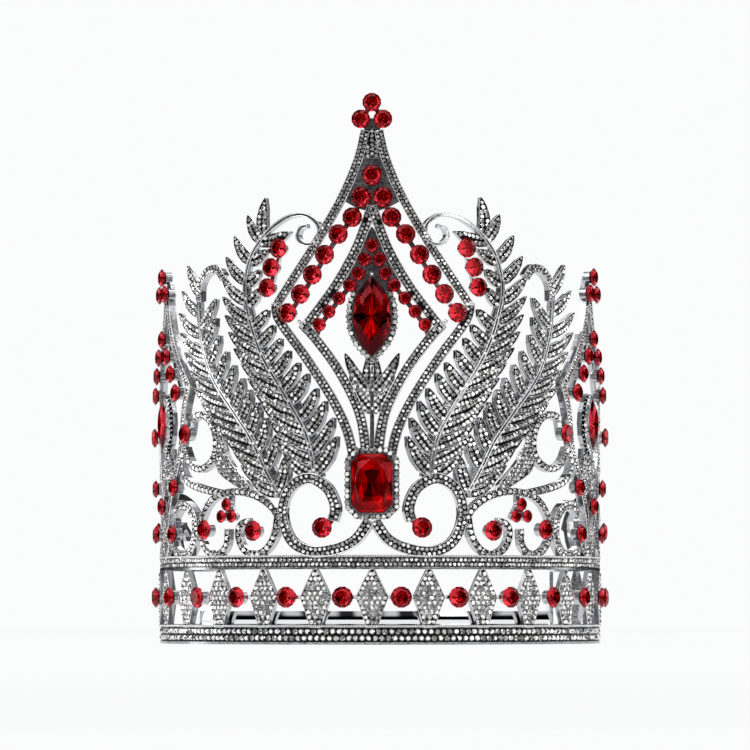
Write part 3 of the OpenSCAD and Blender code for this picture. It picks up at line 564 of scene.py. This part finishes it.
def cut_crown(outline, width, deep):
    """Clear part of a cut stone: its back follows the foil, then girdle, overhang, break and table rings.
    The break and table are the outline's corners and mid-sides, drawn in by their shares of the way. The
    overhang covers the rim of the stone's cup."""
    low = width * deep
    crown = width * CROWN_SHARE
    top = low + GIRDLE_H + 0.04
    over = outline * (1 + OVERHANG * 2 / width)
    rings = [(halfway(outline) * 0.5, low * 0.5 + GLASS_GAP), (outline * 0.985, low + GLASS_GAP),
             (outline, low + GIRDLE_H), (over, top), (halfway(over) * 0.83, top + crown * 0.55),
             (over * 0.6, top + crown)]
    foot, back, girdle, rim, middle, table = ring_numbers(len(outline), len(rings))
    faces = [[0, b, a] for a, b in zip(foot, shifted(foot))] + ring_faces(foot, shifted(back))
    for lower, upper in ((back, girdle), (girdle, rim)):
        faces += [[a, b, d, c] for a, b, c, d in zip(lower, shifted(lower), upper, shifted(upper))]
    faces += ring_faces(rim, middle) + ring_faces(middle, shifted(table)) + [shifted(table)]
    return ring_points(GLASS_GAP, rings), faces, CHANCE.random(len(faces))


def foil_back(outline, width, deep, tones):
    """Foiled back of a cut stone: rings from the middle out to the outline, twice, the foil's thickness
    apart, and joined at the outline. Each ring of facets has its own tone, painted light and shade of what
    the facets reflect. A fourth tone paints shade on the inner facets that face up or down, which makes a bow
    tie."""
    n = len(outline)
    low = width * deep
    ring_at = [(outline * 0.22, 0.22), (halfway(outline) * 0.5, 0.5), (outline * 0.98, 1.0)]
    layers = [ring_points(gap, [(ring, low * share + gap) for ring, share in ring_at])
              for gap in (0.0, FOIL_T)]
    inner, middle, edge = ring_numbers(n, len(ring_at))
    up = [[0, a, b] for a, b in zip(inner, shifted(inner))]
    up += ring_faces(inner, middle) + ring_faces(middle, shifted(edge))
    # Painted light and shade: a tone to each ring of facets with a chance spread, then the bow tie's painted
    # shade
    shade = np.repeat(tones[:3], [n, 2 * n, 2 * n]) + (CHANCE.random(5 * n) - 0.5) * FOIL_SPREAD
    if len(tones) > 3:
        x, y = np.array([layers[0][face].mean(axis=0) for face in up]).T[:2]
        upright = np.abs(y) / np.ptp(outline[:, 1]) > np.abs(x) / np.ptp(outline[:, 0])
        shade = np.where(upright & (np.arange(5 * n) < 3 * n), tones[3], shade)
    size = len(layers[0])
    faces = [[k + size for k in face] for face in up] + [face[::-1] for face in up]
    faces += [[a, b, b + size, a + size] for a, b in zip(edge, shifted(edge))]
    return np.vstack(layers), faces, np.concatenate([shade, shade, np.full(n, 0.5)])


def seated(form, place):
    """A form in millimetres set square to the wall: across by x, up by z, outwards by seat plus height."""
    corners, faces, tones = form
    turn = place[0] / FACE_R
    across = np.array([math.cos(turn), math.sin(turn), 0])
    out = np.array([math.sin(turn), -math.cos(turn), 0])
    points = (out * FACE_R + corners[:, :1] * across + (SEAT_H + corners[:, 2:]) * out
              + (place[1] + corners[:, 1:2]) * np.array([0, 0, 1]))
    return points, faces, tones


# Materials
# Scale of the noise that wears a polish unevenly
WEAR_SCALE = 700


def set_sockets(shader, sockets):
    """The given input sockets of a shader node set, with a space for each low line in their names."""
    for key, value in sockets.items():
        shader.inputs[key.replace("_", " ")].default_value = value


def material(name, **sockets):
    """A node material: its Principled shader with the given sockets set."""
    mat = bpy.data.materials.new(name)
    mat.use_nodes = True
    shader = mat.node_tree.nodes["Principled BSDF"]
    set_sockets(shader, sockets)
    return mat, mat.node_tree, shader


def new_node(tree, kind, **sockets):
    """A shader node of a kind, with the given sockets set."""
    made = tree.nodes.new("ShaderNode" + kind)
    set_sockets(made, sockets)
    return made


def new_ramp(tree, stops):
    """A colour ramp of (place, colour) stops."""
    ramp = new_node(tree, "ValToRGB")
    for end, (place, colour) in zip(ramp.color_ramp.elements, (stops[0], stops[-1])):
        end.position, end.color = place, (*colour, 1)
    for place, colour in stops[1:-1]:
        ramp.color_ramp.elements.new(place).color = (*colour, 1)
    return ramp


def link_tone(tree, shader, stops):
    """Colour by the face's own tone, through a ramp of (place, colour) stops."""
    tone = new_node(tree, "Attribute")
    tone.attribute_name = "tone"
    ramp = new_ramp(tree, stops)
    tree.links.new(tone.outputs["Fac"], ramp.inputs["Fac"])
    tree.links.new(ramp.outputs["Color"], shader.inputs["Base Color"])


def link_wear(tree, shader, low, high, bump):
    """Slight unevenness of a polish: noise drives the roughness between two values and a shallow bump."""
    where = new_node(tree, "TexCoord")
    noise = new_node(tree, "TexNoise", Scale=WEAR_SCALE, Detail=3)
    span = new_node(tree, "MapRange", To_Min=low, To_Max=high)
    tree.links.new(where.outputs["Object"], noise.inputs["Vector"])
    tree.links.new(noise.outputs["Fac"], span.inputs["Value"])
    tree.links.new(span.outputs["Result"], shader.inputs["Roughness"])
    if bump > 0:
        relief = new_node(tree, "Bump", Strength=bump, Distance=0.0002)
        tree.links.new(noise.outputs["Fac"], relief.inputs["Height"])
        tree.links.new(relief.outputs["Normal"], shader.inputs["Normal"])


def metal(name, colour, low, high, bump):
    """A metal of one colour, with a polish between two roughnesses."""
    mat, tree, shader = material(name, Base_Color=(*colour, 1), Metallic=1.0)
    link_wear(tree, shader, low, high, bump)
    return mat


def clear_stones():
    """Clear stones whose facets are painted from near black to bright white by their tones: a painted
    reflection of dark and bright surroundings.
    """
    mat, tree, shader = material("clear_stone", Metallic=0.8, Roughness=0.12, IOR=1.35)
    link_tone(tree, shader, [(0.0, (0.006, 0.006, 0.007)), (0.3, (0.12, 0.12, 0.125)),
                             (0.55, (0.88, 0.88, 0.88)), (1.0, (1.0, 0.99, 0.96))])
    return mat


def red_foil():
    """Red foil behind the cut stones, from near black to bright red by its tones: painted light and shade of
    the facets.
    """
    mat, tree, shader = material("red_foil", Metallic=0.8, Roughness=0.22, IOR=1.3)
    link_tone(tree, shader, [(0.0, (0.006, 0.0, 0.001)), (0.35, (0.15, 0.001, 0.006)),
                             (0.7, (0.7, 0.006, 0.02)), (1.0, (1.0, 0.05, 0.06))])
    return mat


def red_glass():
    """Clear red glass over the foil."""
    return material("red_glass", Base_Color=(0.72, 0.03, 0.045, 1), Roughness=0.0, IOR=1.6,
                    Transmission_Weight=1.0, Specular_Tint=(1.0, 0.1, 0.12, 1))[0]


LOOKS = {
    "rhodium_metal": metal("rhodium_metal", (0.56, 0.565, 0.58), 0.1, 0.24, 0.25),
    "polished_ribbon": metal("polished_ribbon", (0.86, 0.865, 0.875), 0.02, 0.06, 0),
    "grey_metal": metal("grey_metal", (0.55, 0.555, 0.565), 0.32, 0.45, 0.2),
    "clear_stone": clear_stones(),
    "red_stone": red_glass(),
}
# Near-black metal of the sheets under the fine stones: painted shade where the gaps between the stones fall
# dark
SHADE_BED = metal("painted_shade_bed", (0.012, 0.012, 0.013), 0.4, 0.55, 0.3)
WIRE = metal("bright_wire", (0.88, 0.885, 0.9), 0.08, 0.16, 0.1)
FOIL = red_foil()
for row in frame["record"]["subparts"]:
    node = frame["nodes"].get(row["node"])
    if node is not None:
        node.data.materials.clear()
        node.data.materials.append(LOOKS[row["material_slot"]])


def new_object(name, data):
    """An object in the scene, at the origin until it is moved."""
    obj = bpy.data.objects.new(name, data)
    bpy.context.scene.collection.objects.link(obj)
    return obj


def piece(name, shapes, mats, smooth=False, replaced=(), which=None):
    """A finished piece: one mesh of its shapes, with a tone to each face, riding on the crown."""
    points, faces, tones = joined(shapes)
    mesh = bpy.data.meshes.new(name)
    mesh.from_pydata((points * MM).tolist(), [], faces)
    mesh.attributes.new("tone", "FLOAT", "FACE").data.foreach_set("value", tones.astype(np.float32))
    for mat in mats:
        mesh.materials.append(mat)
    if which is not None:
        mesh.polygons.foreach_set("material_index", np.asarray(which, np.int32))
    mesh.polygons.foreach_set("use_smooth", np.full(len(faces), smooth))
    obj = new_object(name, mesh)
    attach(obj, "root")
    if replaced:
        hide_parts(*replaced)
    return obj


def clear_piece(name, shapes):
    """Fine clear stones as one piece."""
    piece(name, shapes, [LOOKS["clear_stone"]])


def shade_bed_piece(name, shapes):
    """Near-black sheets of painted shade as one piece."""
    piece(name, shapes, [SHADE_BED])


def wire_piece(name, shapes):
    """Bright wires or balls as one piece."""
    piece(name, shapes, [WIRE], smooth=True)


# Places that fine stones keep off: the cups of the red stones and the bezels of the large ones
CUPS = [(PEAK_STONES, PEAK_D, BOTH), ([PEAK_STONE_TOP_AT], PEAK_D, ONCE), (INNER_STONES, INNER_D, BOTH),
        ([INNER_STONE_TOP_AT], INNER_D, ONCE), (FINIAL_STONES[:1], FINIAL_D, ONCE),
        (FINIAL_STONES[1:], FINIAL_D, BOTH), ([SCROLL_STONE_AT], SCROLL_D, BOTH), (FERN_STONES, FERN_D, BOTH),
        (ARCH_STONES, SCROLL_D, FOUR), ([CURL_STONE_AT], SCROLL_D, FOUR), (TREFOIL_STONES, TREFOIL_D, FOUR),
        (SIDE_STONES, SIDE_D, FOUR)]
cup_places = np.vstack([spots(points, *where) for points, d, sides in CUPS for where in sides])
cup_radii = np.concatenate([np.full(len(points), d / 2 + CUP_RIM)
                            for points, d, sides in CUPS for _ in sides])
BEZELS = [lens(spots(MARQUISE_AT), np.add(MARQUISE_SIZE, BEZEL_GROWTH)),
          cut_corners(spots(OCTAGON_AT), np.add(OCTAGON_SIZE, BEZEL_GROWTH), OCTAGON_CUT + 0.8),
          *(lens(spots(SIDE_MARQUISE_AT, side), np.add(SIDE_MARQUISE_SIZE, SIDE_BEZEL_GROWTH))
            for side in (1, -1))]


def clear_of_stones(places, d):
    """Which places leave room for a fine stone: outside each cup's circle and each bezel's outline."""
    gap = np.linalg.norm(places[:, None] - cup_places, axis=2) - cup_radii
    free = (gap > np.broadcast_to(d, len(places))[:, None] * KEEP_OFF_SHARE).all(axis=1)
    for outline in BEZELS:
        free &= ~inside(places, outline)
    return free


def without_doubles(places, room):
    """Which places keep their distance from all that come before them in the list."""
    keep = np.ones(len(places), bool)
    for i in range(1, len(places)):
        near = np.abs(places[:i] - places[i]).max(axis=1) < room
        near &= keep[:i]
        keep[i] = not (np.linalg.norm(places[:i][near] - places[i], axis=1) < room).any()
    return keep


def paved(name, fields, room, tilt):
    """Piece of the fine stones of many bars or leaves. A field is (places, diameters, lift). Stones too near
    a cup, a bezel or an earlier stone are left out."""
    places = np.vstack([field[0] for field in fields])
    sizes = np.concatenate([field[1] for field in fields])
    lifts = np.concatenate([np.full(len(spot), lift) for spot, _, lift in fields])
    free = clear_of_stones(places, sizes)
    places, sizes, lifts = places[free], sizes[free], lifts[free]
    apart = without_doubles(places, room)
    clear_piece(name, [set_out(STONE, places[apart], sizes[apart], lifts[apart], tilt)])


def bar_rows(line, rows, d, pitch):
    """Rows of stones along a bar: beside its line by whole diameters, every other row half a pitch on."""
    found = []
    for row in range(rows):
        place, ahead = evenly(line, pitch, start=d / 2 + (row % 2) * pitch / 2)
        found.append(place + sideways(ahead) * (row - (rows - 1) / 2) * d)
    return np.vstack(found)


def build_bars():
    """Fine stones, near-black sheets of painted shade and edge wires of all the bars, and the wires along the
    plain stems.
    """
    fields, shade_beds, wires, beads = [], [], [], []
    for table, width, layer, sides, rows, d in BARS:
        lift = -layer * SOLDER_STEP
        for where in sides:
            line = curve(spots(table, *where), 6)
            row = bar_rows(line, rows, d, d * BAR_PITCH)
            fields.append((row, np.full(len(row), d), lift))
            inner = places_at(line, np.linspace(SHADE_BED_END, run_of(line)[-1] - SHADE_BED_END, len(line)))[0]
            # A near-black strip of painted shade under the bar's stones
            shade_beds.append(strip(inner, [width - 0.3], lift - SHADE_BED_ROOT, lift + BAR_SHADE_BED_H))
            if rows == 2:
                wires.append(edge_wire(line, [width], BAR_WIRE, lift))
            if rows == 1:
                between, ahead = evenly(line, d * BAR_PITCH, start=d * 0.03)
                edge = sideways(ahead) * width * 0.44
                beads.append(np.vstack([between + edge, between - edge]))
    for table, width, layer, sides in STEMS:
        for where in sides:
            line = curve(spots(table, *where), 6)
            wires.append(edge_wire(line, [width], STEM_WIRE, -layer * SOLDER_STEP))
    paved("bar_stones", fields, 1.0, 0.12)
    shade_bed_piece("bar_shade_beds", shade_beds)
    wire_piece("bar_wires", wires)
    beads = np.vstack(beads)
    beads = beads[clear_of_stones(beads, 0.4)]
    wire_piece("bar_beads", [set_out(BEAD, beads, 0.55, -0.1)])


def leaf_line(base, tip, bend):
    """Middle of a leaf: a smooth line from base to tip through a point moved a little to one side."""
    middle = (base + tip) / 2 + np.array([tip[1] - base[1], base[0] - tip[0]]) * LEAF_BEND * bend
    return curve(np.array([base, middle, tip]), 6)


def leaf_stones(line, width):
    """Stones of one leaf: two side by side where it is wide, and one, ever smaller, towards its tip."""
    length = run_of(line)[-1]
    run = np.arange(0.9, length - 0.5, LEAF_PITCH)
    place, ahead = places_at(line, run)
    wide = np.interp(run / length, np.linspace(0, 1, len(LEAF_PROFILE)), LEAF_PROFILE) * width
    two = wide > LEAF_PAIR_W
    side = sideways(ahead) * (np.minimum(wide, 4) * 0.235)[:, None]
    return (np.vstack([(place + side)[two], (place - side)[two], place[~two]]),
            np.concatenate([np.full(2 * two.sum(), LEAF_PAIR_D), np.clip(wide[~two] * 0.7, 0.7, 1.8)]))


def all_leaves():
    """Every leaf as (line, width, lift): those of the ferns, the palmette and the side panels. A fern's leaf
    starts where its stem is at the height of its tip less the climb."""
    found = []
    for stem, tips, climb, bend, layer in FERNS:
        line = curve(spots(stem), 3)
        ends = spots(tips)
        height = np.clip(ends[:, 1] - np.linspace(*climb, len(ends)), line[0, 1], line[-1, 1])
        base = np.stack([np.interp(height, line[:, 1], line[:, 0]), height], axis=1)
        for side in (1, -1):
            for a, b in zip(base, ends):
                found.append((leaf_line(a, b, bend) * [side, 1], LEAF_W, -LEAF_DROP - layer * SOLDER_STEP))
    for table, sides in ((PALMETTE, BOTH), (SIDE_LEAVES, FOUR)):
        for row in table:
            for side, fold in sides:
                middle = leaf_line(spots(row[0:2]), spots(row[2:4]), 1)
                if fold:
                    middle = middle * [-1, 1] + [2 * SIDE_AXIS * STEP_X, 0]
                found.append((middle * [side, 1], row[4], -LEAF_DROP - SOLDER_STEP))
    return found


def build_leaves():
    """Fine stones, near-black sheets of painted shade and scalloped rims of the leaves."""
    fields, shade_beds, rims = [], [], []
    for line, width, lift in all_leaves():
        fields.append((*leaf_stones(line, width), lift + 0.3))
        profile = np.multiply(LEAF_PROFILE, width)
        # A near-black strip of painted shade under the leaf's stones
        shade_beds.append(strip(line, profile * 0.94, lift - SHADE_BED_ROOT, lift + LEAF_SHADE_BED_H))
        rims.append(edge_wire(line, profile, LEAF_WIRE, lift, sides=5))
    paved("leaf_stones", fields, 1.05, 0.15)
    shade_bed_piece("leaf_shade_beds", shade_beds)
    wire_piece("leaf_rims", rims)


def build_teardrops():
    """Teardrops beside the outer ferns, packed with stones in rows that step half a stone each time."""
    d = TEARDROP_STONE_D
    lift = -LEAF_DROP - TEARDROP_LAYER * SOLDER_STEP
    fields, shade_beds, rims = [], [], []
    for where in BOTH:
        outline = curve(spots(TEARDROP, *where), 4, closed=True)
        low, high = outline.min(axis=0), outline.max(axis=0)
        grid = staggered(np.arange(low[0], high[0], d), np.arange(low[1], high[1], d * 0.9), d)
        middle = outline.mean(axis=0)
        fields.append(grid[inside(grid, middle + (outline - middle) * 0.9)])
        # A near-black plate of painted shade under the stones
        shade_beds.append(plate(middle + (outline - middle) * 0.94, lift - SHADE_BED_ROOT, lift + FLAT_SHADE_BED_H))
        rims.append(wire(outline, 0.15, lift + 0.08))
    clear_piece("teardrop_stones", [set_out(STONE, np.vstack(fields), d, lift + 0.06, 0.12)])
    shade_bed_piece("teardrop_shade_beds", shade_beds)
    wire_piece("teardrop_rims", rims)


def round_rows(heights, pitch):
    """Rows right round the wall at given heights, every other one half a pitch on."""
    end = WALL_HALF - 1.2
    return staggered(np.linspace(-end, end, int(2 * end / pitch)), heights, pitch)


def build_bands():
    """Two rows of stones in the channel of each band, on a near-black sheet of painted shade, with a line of
    milgrain on its top.
    """
    low, high = LOW_BAND_H / 2, DECK_Z - TOP_BAND_H / 2
    stones = []
    for middle, (off, pitch, d) in ((low, LOW_ROWS), (high, TOP_ROWS)):
        rows = round_rows([middle - off, middle + off], pitch)
        stones.append(set_out(STONE, rows, d, -CHANNEL_D + 0.04, 0.12))
    clear_piece("band_stones", stones)
    across = np.linspace(0.1 - WALL_HALF, WALL_HALF - 0.1, 160)
    shade_beds = []
    for z, h in ((low, LOW_BAND_H - 2 * RAIL_H), (high, TOP_BAND_H - 2 * RAIL_H)):
        shade_beds.append(strip(level(across, z), [h], -CHANNEL_D - 0.1, -CHANNEL_D + FLAT_SHADE_BED_H))
    shade_bed_piece("band_shade_beds", shade_beds)
    drop, pitch, d = MILGRAIN
    grain = np.vstack([round_rows([top - drop], pitch) for top in (LOW_BAND_H, DECK_Z)])
    wire_piece("milgrain", [set_out(BEAD, grain, d, -0.02)])


def build_ribbon():
    """Polished ribbon inside the front, slightly domed: its face stands back by the dome times u squared at
    u half heights from its middle."""
    end = math.radians(RIBBON_END) * FACE_R
    middle = LOW_BAND_H - RIBBON_LAP + RIBBON_H / 2
    line = level(np.linspace(-end, end, 97), middle)
    u = np.linspace(-1, 1, 11)
    face = -BAND_T - SEAT_GAP - RIBBON_DOME * u * u
    across = np.concatenate([u, -u]) * RIBBON_H / 2
    lifts = np.concatenate([face, face[::-1] - RIBBON_T / 2])
    ribbon = piece("domed_ribbon", [carried(line, across, lifts)], [LOOKS["polished_ribbon"]],
                   smooth=True, replaced=["inner_ribbon"])
    ribbon.data.set_sharp_from_angle(angle=math.radians(40))


def gallery_places(steps, height):
    """Flat places in the gallery at a height: azimuth = steps of its bays from one end of the wall."""
    turns = np.radians(-WALL_END + steps * 2 * WALL_END / GALLERY_COUNT)
    return level(turns * FACE_R, height)


def build_kites():
    """Kites packed with stones in rows, rimmed with wire, and linked to the red stones by small balls."""
    shares = np.array(KITE_SHARES)
    height = LOW_BAND_H + shares[:, 1] * GALLERY_H
    rows = np.arange(LOW_BAND_H + 1.0, LOW_BAND_H + GALLERY_H - 1.2, KITE_ROW_PITCH)
    half = np.interp(rows, height, shares[:, 0] * KITE_W / 2) - 0.1
    places = []
    for z, w in zip(rows, half):
        count = max(int(round(2 * w / KITE_STONE_PITCH)), 1)
        room = w - KITE_STONE_PITCH / 2 if count > 1 else 0
        places.append(level(np.linspace(-room, room, count), z))
    one = np.vstack(places)
    middles = gallery_places(np.arange(1, GALLERY_COUNT), 0.0)
    fields = [one + middle for middle in middles]
    edge = np.stack([shares[:, 0] * KITE_W / 2, height], axis=1)
    spine = np.stack([0 * height, height], axis=1)
    # Near-black strips of painted shade under the kites' stones
    shade_bed_widths = shares[:, 0] * KITE_W - 0.2
    shade_beds = [strip(spine + middle, shade_bed_widths, -KITE_DROP - SHADE_BED_ROOT, -KITE_DROP + FLAT_SHADE_BED_H)
            for middle in middles]
    outline = np.vstack([edge, (edge * [-1, 1])[::-1]]) * [0.97, 1]
    rims = [wire(outline + middle, 0.12, -KITE_DROP + 0.04) for middle in middles]
    clear_piece("kite_stones", [set_out(STONE, np.vstack(fields), KITE_STONE_D, -KITE_DROP + 0.02, 0.15)])
    shade_bed_piece("kite_shade_beds", shade_beds)
    wire_piece("kite_rims", rims)
    links = np.vstack([middle + [side * (KITE_W / 2 + 0.3), GALLERY_MID]
                       for middle in middles for side in (-1, 1)])
    joints = np.vstack([spots(points, *where) for points, sides in JOINT_BALLS for where in sides])
    wire_piece("link_balls", [set_out(BEAD, links, 1.2, -0.3), set_out(BEAD, joints, 1.5, -0.3)])


def halo(outline, d, lift, skip_above=None):
    """Raised ring of stones round a large stone, left open above a given height: places of the stones, their
    lifts, places of the beads outside, and the strip of metal below."""
    start = outline[:, 1].argmax()
    line = np.vstack([outline[start:], outline[:start + 1]])
    fine = places_at(line, np.linspace(0, run_of(line)[-1], 121)[:-1])[0]
    place, ahead = evenly(outline, d * HALO_PITCH, closed=True)
    out = place - sideways(ahead) * d * HALO_BEAD_AT
    if skip_above is not None:
        place, out, fine = (flat[flat[:, 1] < skip_above] for flat in (place, out, fine))
    foot = -LEAF_DROP - 0.4
    return place, np.full(len(place), lift), out, carried(
        fine, d * HALO_HALF_W * np.array([1, 1, -1, -1]), [foot, lift, lift, foot], closed=skip_above is None)


def build_halos():
    """Halos of the front marquise, the octagon and the side marquises."""
    middle = spots(MARQUISE_AT)
    growth, d, lift = MARQUISE_HALO
    forms = [halo(lens(middle, np.add(MARQUISE_SIZE, growth)), d, lift, skip_above=middle[1] + 8)]
    growth, d, lift = OCTAGON_HALO
    eight = cut_corners(spots(OCTAGON_AT), np.add(OCTAGON_SIZE, growth), OCTAGON_CUT + 0.5)
    forms.append(halo(eight, d, lift))
    growth, d, lift = SIDE_HALO
    for side in (1, -1):
        forms.append(halo(lens(spots(SIDE_MARQUISE_AT, side), np.add(SIDE_MARQUISE_SIZE, growth)), d, lift))
    places, tops, outer, shade_strips = zip(*forms)
    clear_piece("halo_stones",
                [set_out(STONE, np.vstack(places), HALO_STONE_D, np.concatenate(tops), 0.15)])
    # The strips under the halo stones are drawn in the near-black metal of painted shade
    shade_bed_piece("halo_shade_strips", shade_strips)
    wire_piece("halo_beads", [set_out(BEAD, np.vstack(outer), HALO_BEAD_D, -0.2)])


def round_outline(d, sides=12):
    """Even outline of so many sides."""
    turn = even_turns(sides, 0.5)
    return np.stack([np.cos(turn), np.sin(turn)], axis=1) * d / 2


def red_piece(node, stones, name=None):
    """A cut stone, or a field of them, in place of its node and named after it or by the given name. Each
    stone is (outline, width, share of the width that its back is deep, place, tones)."""
    shapes, which = [], []
    for outline, width, deep, place, tones in stones:
        forms = (cut_crown(outline, width, deep), foil_back(outline, width, deep, tones))
        for index, form in enumerate(forms):
            shapes.append(seated(form, place))
            which += [index] * len(form[1])
    piece(name or "cut_" + node, shapes, [LOOKS["red_stone"], FOIL], replaced=[node],
          which=which)


def build_red_stones():
    """Every red stone: one piece to a node, with the stones where the node's own are."""
    def stone(d, place):
        return round_outline(d), d, BACK_SHARE, place, ROUND_TONES
    def several(points, d, sides):
        return [stone(d, place) for where in sides for place in spots(points, *where)]
    def large(node, outline, width, place, tones):
        red_piece(node, [(outline, width, BIG_BACK_SHARE, place, tones)])
    large("front_marquise", lens([0, 0], MARQUISE_SIZE, corners=8), MARQUISE_SIZE[0], spots(MARQUISE_AT),
          MARQUISE_TONES)
    large("front_octagon", cut_corners([0, 0], OCTAGON_SIZE, OCTAGON_CUT), OCTAGON_SIZE[0],
          spots(OCTAGON_AT), OCTAGON_TONES)
    bays = gallery_places(np.arange(GALLERY_COUNT) + 0.5, GALLERY_MID)
    red_piece("gallery_stones", [stone(GALLERY_D, place) for place in bays])
    inner = several([INNER_STONE_TOP_AT], INNER_D, ONCE) + several(INNER_STONES, INNER_D, BOTH)
    red_piece("inner_row_stones", inner, name="cut_inner_row")
    red_piece("trefoil_stones", several(TREFOIL_STONES, TREFOIL_D, FOUR), name="cut_trefoils")
    red_piece("finial_stone_top", several(FINIAL_STONES[:1], FINIAL_D, ONCE), name="cut_finial_top")
    red_piece("peak_stone_top", several([PEAK_STONE_TOP_AT], PEAK_D, ONCE), name="cut_peak_top")
    on_axis = [p for p in SIDE_STONES if p[0] <= SIDE_AXIS]
    off_axis = [p for p in SIDE_STONES if p[0] > SIDE_AXIS]
    for word, side in (("left", -1), ("right", 1)):
        here, behind = ((side, False),), ((side, True),)
        large(f"side_marquise_{word}", lens([0, 0], SIDE_MARQUISE_SIZE, corners=8), SIDE_MARQUISE_SIZE[0],
              spots(SIDE_MARQUISE_AT, side), SIDE_MARQUISE_TONES)
        red_piece(f"side_stones_{word}",
                  several(on_axis, SIDE_D, here) + several(off_axis, SIDE_D, here + behind)
                  + several(ARCH_STONES + [CURL_STONE_AT], SCROLL_D, behind))
        for name, point, d in (("finial_stone", FINIAL_STONES[1], FINIAL_D),
                               ("scroll_stone", SCROLL_STONE_AT, SCROLL_D),
                               ("curl_stone", CURL_STONE_AT, SCROLL_D)):
            red_piece(f"{name}_{word}", several([point], d, here))
        for name, points, d in (("arch_stone", ARCH_STONES, SCROLL_D), ("fern_stone", FERN_STONES, FERN_D),
                                ("peak_stone", PEAK_STONES, PEAK_D)):
            for k, point in enumerate(points, 1):
                red_piece(f"{name}_{word}_{k}", several([point], d, here))


build_bars()
build_leaves()
build_teardrops()
build_bands()
build_ribbon()
build_kites()
build_halos()
build_red_stones()


# Floor, lights, world and camera, in metres
PALE = (0.965, 0.968, 0.972, 1)
FLOOR_R = 1.2
FLOOR_SIDES = 64
# Height of the crown's middle, which the lamps face
AIM_Z = 0.09
# Lamps: name, azimuth from the front, elevation, distance, size, watts
LAMPS = [
    ("key_lamp", -38, 38, 1.0, (0.5, 0.7), 3.6),
    ("fill_lamp", 42, 22, 1.1, (0.35, 0.8), 1.8),
    ("top_lamp", 10, 78, 0.9, (0.6, 0.4), 1.8),
    ("back_lamp", 165, 40, 1.2, (0.8, 0.6), 2.4),
    ("left_lamp", -105, 15, 1.1, (0.3, 0.8), 1.6),
    ("right_lamp", 110, 18, 1.1, (0.3, 0.8), 1.6),
]


def build_floor():
    """Wide round floor: one flat disc round the crown's axis, with a pale glow of its own."""
    turn = even_turns(FLOOR_SIDES)
    points = np.column_stack([np.cos(turn), np.sin(turn), 0 * turn]) * FLOOR_R
    mesh = bpy.data.meshes.new("floor")
    mesh.from_pydata(points.tolist(), [], [list(range(FLOOR_SIDES))])
    mesh.materials.append(material("pale_floor", Base_Color=(0.05, 0.05, 0.05, 1), Roughness=0.9,
                                   Specular_IOR_Level=0.0, Emission_Strength=0.96, Emission_Color=PALE)[0])
    obj = new_object("floor", mesh)


def softbox(name, azimuth, elevation, distance, size, watts):
    """Square lamp facing the crown's middle, placed by azimuth from the front and elevation."""
    a, e = math.radians(azimuth), math.radians(elevation)
    light = bpy.data.lights.new(name, "AREA")
    light.shape = "RECTANGLE"
    light.size, light.size_y = size
    light.energy = watts
    obj = new_object(name, light)
    out = np.array([math.sin(a) * math.cos(e), -math.cos(a) * math.cos(e), math.sin(e)])
    obj.location = out * distance + [0, 0, AIM_Z]
    obj.rotation_mode = "QUATERNION"
    obj.rotation_quaternion = Vector((-out).tolist()).to_track_quat("-Z", "Y")


def build_light():
    """Soft lamps on all sides, and a world that is white behind the crown. In reflections it is banded, and
    dark along the horizon."""
    for lamp in LAMPS:
        softbox(*lamp)
    world = bpy.data.worlds.new("studio")
    bpy.context.scene.world = world
    world.use_nodes = True
    tree = world.node_tree
    tree.nodes.clear()
    out = new_node(tree, "OutputWorld")
    mix = new_node(tree, "MixShader")
    path = new_node(tree, "LightPath")
    seen = new_node(tree, "Background", Color=PALE)
    room = new_node(tree, "Background")
    where = new_node(tree, "TexCoord")
    bands = new_node(tree, "TexWave", Scale=1.1, Distortion=1.5)
    ramp = new_ramp(tree, [(0.3, (0.02, 0.02, 0.022)), (0.8, (0.6, 0.605, 0.615))])
    height = new_node(tree, "SeparateXYZ")
    slope = new_node(tree, "Math")
    slope.operation = "ABSOLUTE"
    dark = new_node(tree, "MapRange", From_Min=0.09, From_Max=0.15)
    for source, target in (
            (where.outputs["Generated"], bands.inputs["Vector"]), (bands.outputs["Fac"], ramp.inputs["Fac"]),
            (ramp.outputs["Color"], room.inputs["Color"]),
            (where.outputs["Generated"], height.inputs["Vector"]), (height.outputs["Z"], slope.inputs[0]),
            (slope.outputs["Value"], dark.inputs["Value"]),
            (dark.outputs["Result"], room.inputs["Strength"]),
            (path.outputs["Is Camera Ray"], mix.inputs["Fac"]), (room.outputs["Background"], mix.inputs[1]),
            (seen.outputs["Background"], mix.inputs[2]), (mix.outputs["Shader"], out.inputs["Surface"])):
        tree.links.new(source, target)


# The photograph's frame and focal length in pixels, the camera's distance and height in metres and its
# turn in degrees, and the pixels of the crown's axis and of its top
FRAME_PX = 750
FOCAL_PX = 5048
CAMERA_D = 1.7
CAMERA_Z = 0.012
CAMERA_TURN = 2.0
AXIS_PX = 380
TOP_PX = 93


def build_camera():
    """Camera just over the floor, turned so that the top stone and the crown's axis fall on their pixels."""
    data = bpy.data.cameras.new("camera")
    data.sensor_width = 36
    data.lens = FOCAL_PX / FRAME_PX * data.sensor_width
    data.clip_start, data.clip_end = 0.05, 30
    cam = new_object("camera", data)
    turn = math.radians(CAMERA_TURN)
    cam.location = (CAMERA_D * math.sin(turn), -CAMERA_D * math.cos(turn), CAMERA_Z)
    to_top = math.atan2(CAD_BOX[1][2] - CAMERA_Z, CAMERA_D + CAD_BOX[0][1])
    pitch = to_top - math.atan2(FRAME_PX / 2 - TOP_PX, FOCAL_PX)
    aim = turn + math.atan2(AXIS_PX - FRAME_PX / 2, FOCAL_PX)
    cam.rotation_euler = (math.pi / 2 + pitch, 0, aim)
    bpy.context.scene.camera = cam


build_floor()
build_light()
build_camera()
bpy.context.scene.view_settings.view_transform = "Standard"
